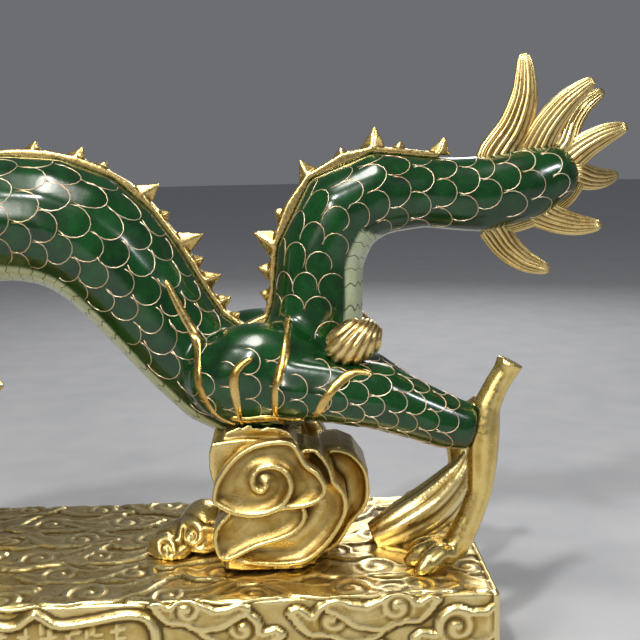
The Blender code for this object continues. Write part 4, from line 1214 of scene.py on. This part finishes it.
def eye_beads():
    """Two small glossy beads set in the eyes."""
    beads = []
    for side in (-1, 1):
        x, y, z = EYE_PLACE
        bpy.ops.mesh.primitive_uv_sphere_add(segments=24, ring_count=16, radius=EYE_RADIUS,
                                             location=on_head(x, side * y, z))
        beads.append(bpy.context.object)
    both = join_pieces("eye_beads", beads)
    bpy.ops.object.transform_apply(location=True, rotation=True, scale=True)
    return both


def bead_enamel():
    """Almost black fused glass with a faint brown cloud."""
    made, tree, shader, place = new_material("dark_enamel_bead")
    cloud = add(tree, "TexNoise", {"Vector": place, "Scale": 1 / 0.002, "Detail": 2.0})
    tone = add(tree, "ValToRGB", {"Fac": cloud.outputs["Fac"]}, stops=((0.35, "0B0907"), (0.7, "231710")))
    plug(tree, shader, {"Base Color": tone.outputs["Color"], "Roughness": 0.12})
    return made


HEAD_GILT = gilt("gilt_head", "EFD896", "B89042", "2E1E08", 0.27, 0.0014, 0.00012)
head = cad_copy("head", "head_gilt")
fuse(head, cell=0.0007, passes=7)
soften(head, on_skull(head), passes=10)
write_points(head, read_points(head) + normals_of(head) * HEAD_RISE)
head = join_pieces("head_gilt", [head, *head_locks(lock_profile)])
mark_hollows(head, passes=6, depth=0.0005)
finish(head, HEAD_GILT, ["head"])
finish(eye_beads(), bead_enamel())

# Lower legs and feet
# Four gilt legs cast with their clawed toes; each ends above the hock in a
# cut stub and is soldered to the end of the enamelled shank.
FOOT_HEIGHT = 0.014
# How far the gilt skin stands over the solid, and what the foot adds
LEG_RISE = 0.0003
FOOT_RISE = 0.0004
LEG_GILT = gilt("gilt_leg", "EDD284", "B48E3A", "3A290A", 0.27, 0.0018, 0.00012)
for leg_name in ("hind_leg_near", "hind_leg_far", "front_leg_near", "front_leg_far"):
    leg = cad_copy(leg_name, leg_name + "_gilt")
    fuse(leg, cell=0.00055, passes=26)
    soften(leg, read_points(leg)[:, 2] < PLINTH_HEIGHT + FOOT_HEIGHT, passes=16)
    foot = ease(read_points(leg)[:, 2], PLINTH_HEIGHT + FOOT_HEIGHT, PLINTH_HEIGHT + FOOT_HEIGHT / 2)
    write_points(leg, read_points(leg) + normals_of(leg) * (LEG_RISE + FOOT_RISE * foot)[:, None])
    mark_hollows(leg, passes=12, depth=0.0007)
    finish(leg, LEG_GILT, [leg_name])

# Knots of hair
# Shell-shaped knot above each knee, cast with curved grooves, gilt and
# soldered on the enamelled thigh.
KNOT_PLACE = (0.1235, 0.0330, 0.1340)
KNOT_HALF = (0.0118, 0.0085, 0.0088)
KNOT_TURN = 22.0
# Grooves: where they meet beyond the knot in half sizes, angle from one to the next, bow, depth
KNOT_POLE = (1.68, 0.90)
KNOT_STEP = 0.165
KNOT_BOW = 0.14
KNOT_GROOVE = 0.075


def hair_knot(name, side, shift, drop):
    """Ball with curved grooves that run together beyond its upper end."""
    x, y, z = KNOT_PLACE
    bpy.ops.object.select_all(action="DESELECT")
    bpy.ops.mesh.primitive_uv_sphere_add(segments=88, ring_count=56, radius=1.0)
    ball = bpy.context.object
    ball.name = name
    points = read_points(ball)
    away_x = KNOT_POLE[0] - points[:, 0]
    away_z = KNOT_POLE[1] - points[:, 2]
    fan = np.arctan2(away_z, away_x) - KNOT_BOW * np.hypot(away_x, away_z)
    groove = 0.5 + 0.5 * np.cos(fan / KNOT_STEP * 2 * math.pi)
    points *= (1.02 - KNOT_GROOVE * groove ** 2)[:, None]
    write_points(ball, points)
    turn = Matrix.Rotation(math.radians(-KNOT_TURN), 4, "Y")
    place = Matrix.Translation((x + shift, side * y, z - drop * 0.4))
    ball.data.transform(place @ turn @ Matrix.Diagonal((*KNOT_HALF, 1.0)))
    return ball


for knot_leg, (knot_side, knot_shift, knot_drop) in LEGS.items():
    knot_node = knot_leg.replace("_", "_knot_")
    knot = hair_knot(knot_node + "_gilt", knot_side, knot_shift, knot_drop)
    mark_hollows(knot, passes=4, depth=0.0005)
    finish(knot, TUFT_GILT, [knot_node])

# Drawing outlines
# The grooved outlines that the wave and the locks were drawn with are no
# part of the dragon, so they are taken away.
for profile in (wave_profile, lock_profile):
    bpy.data.objects.remove(profile, do_unlink=True)
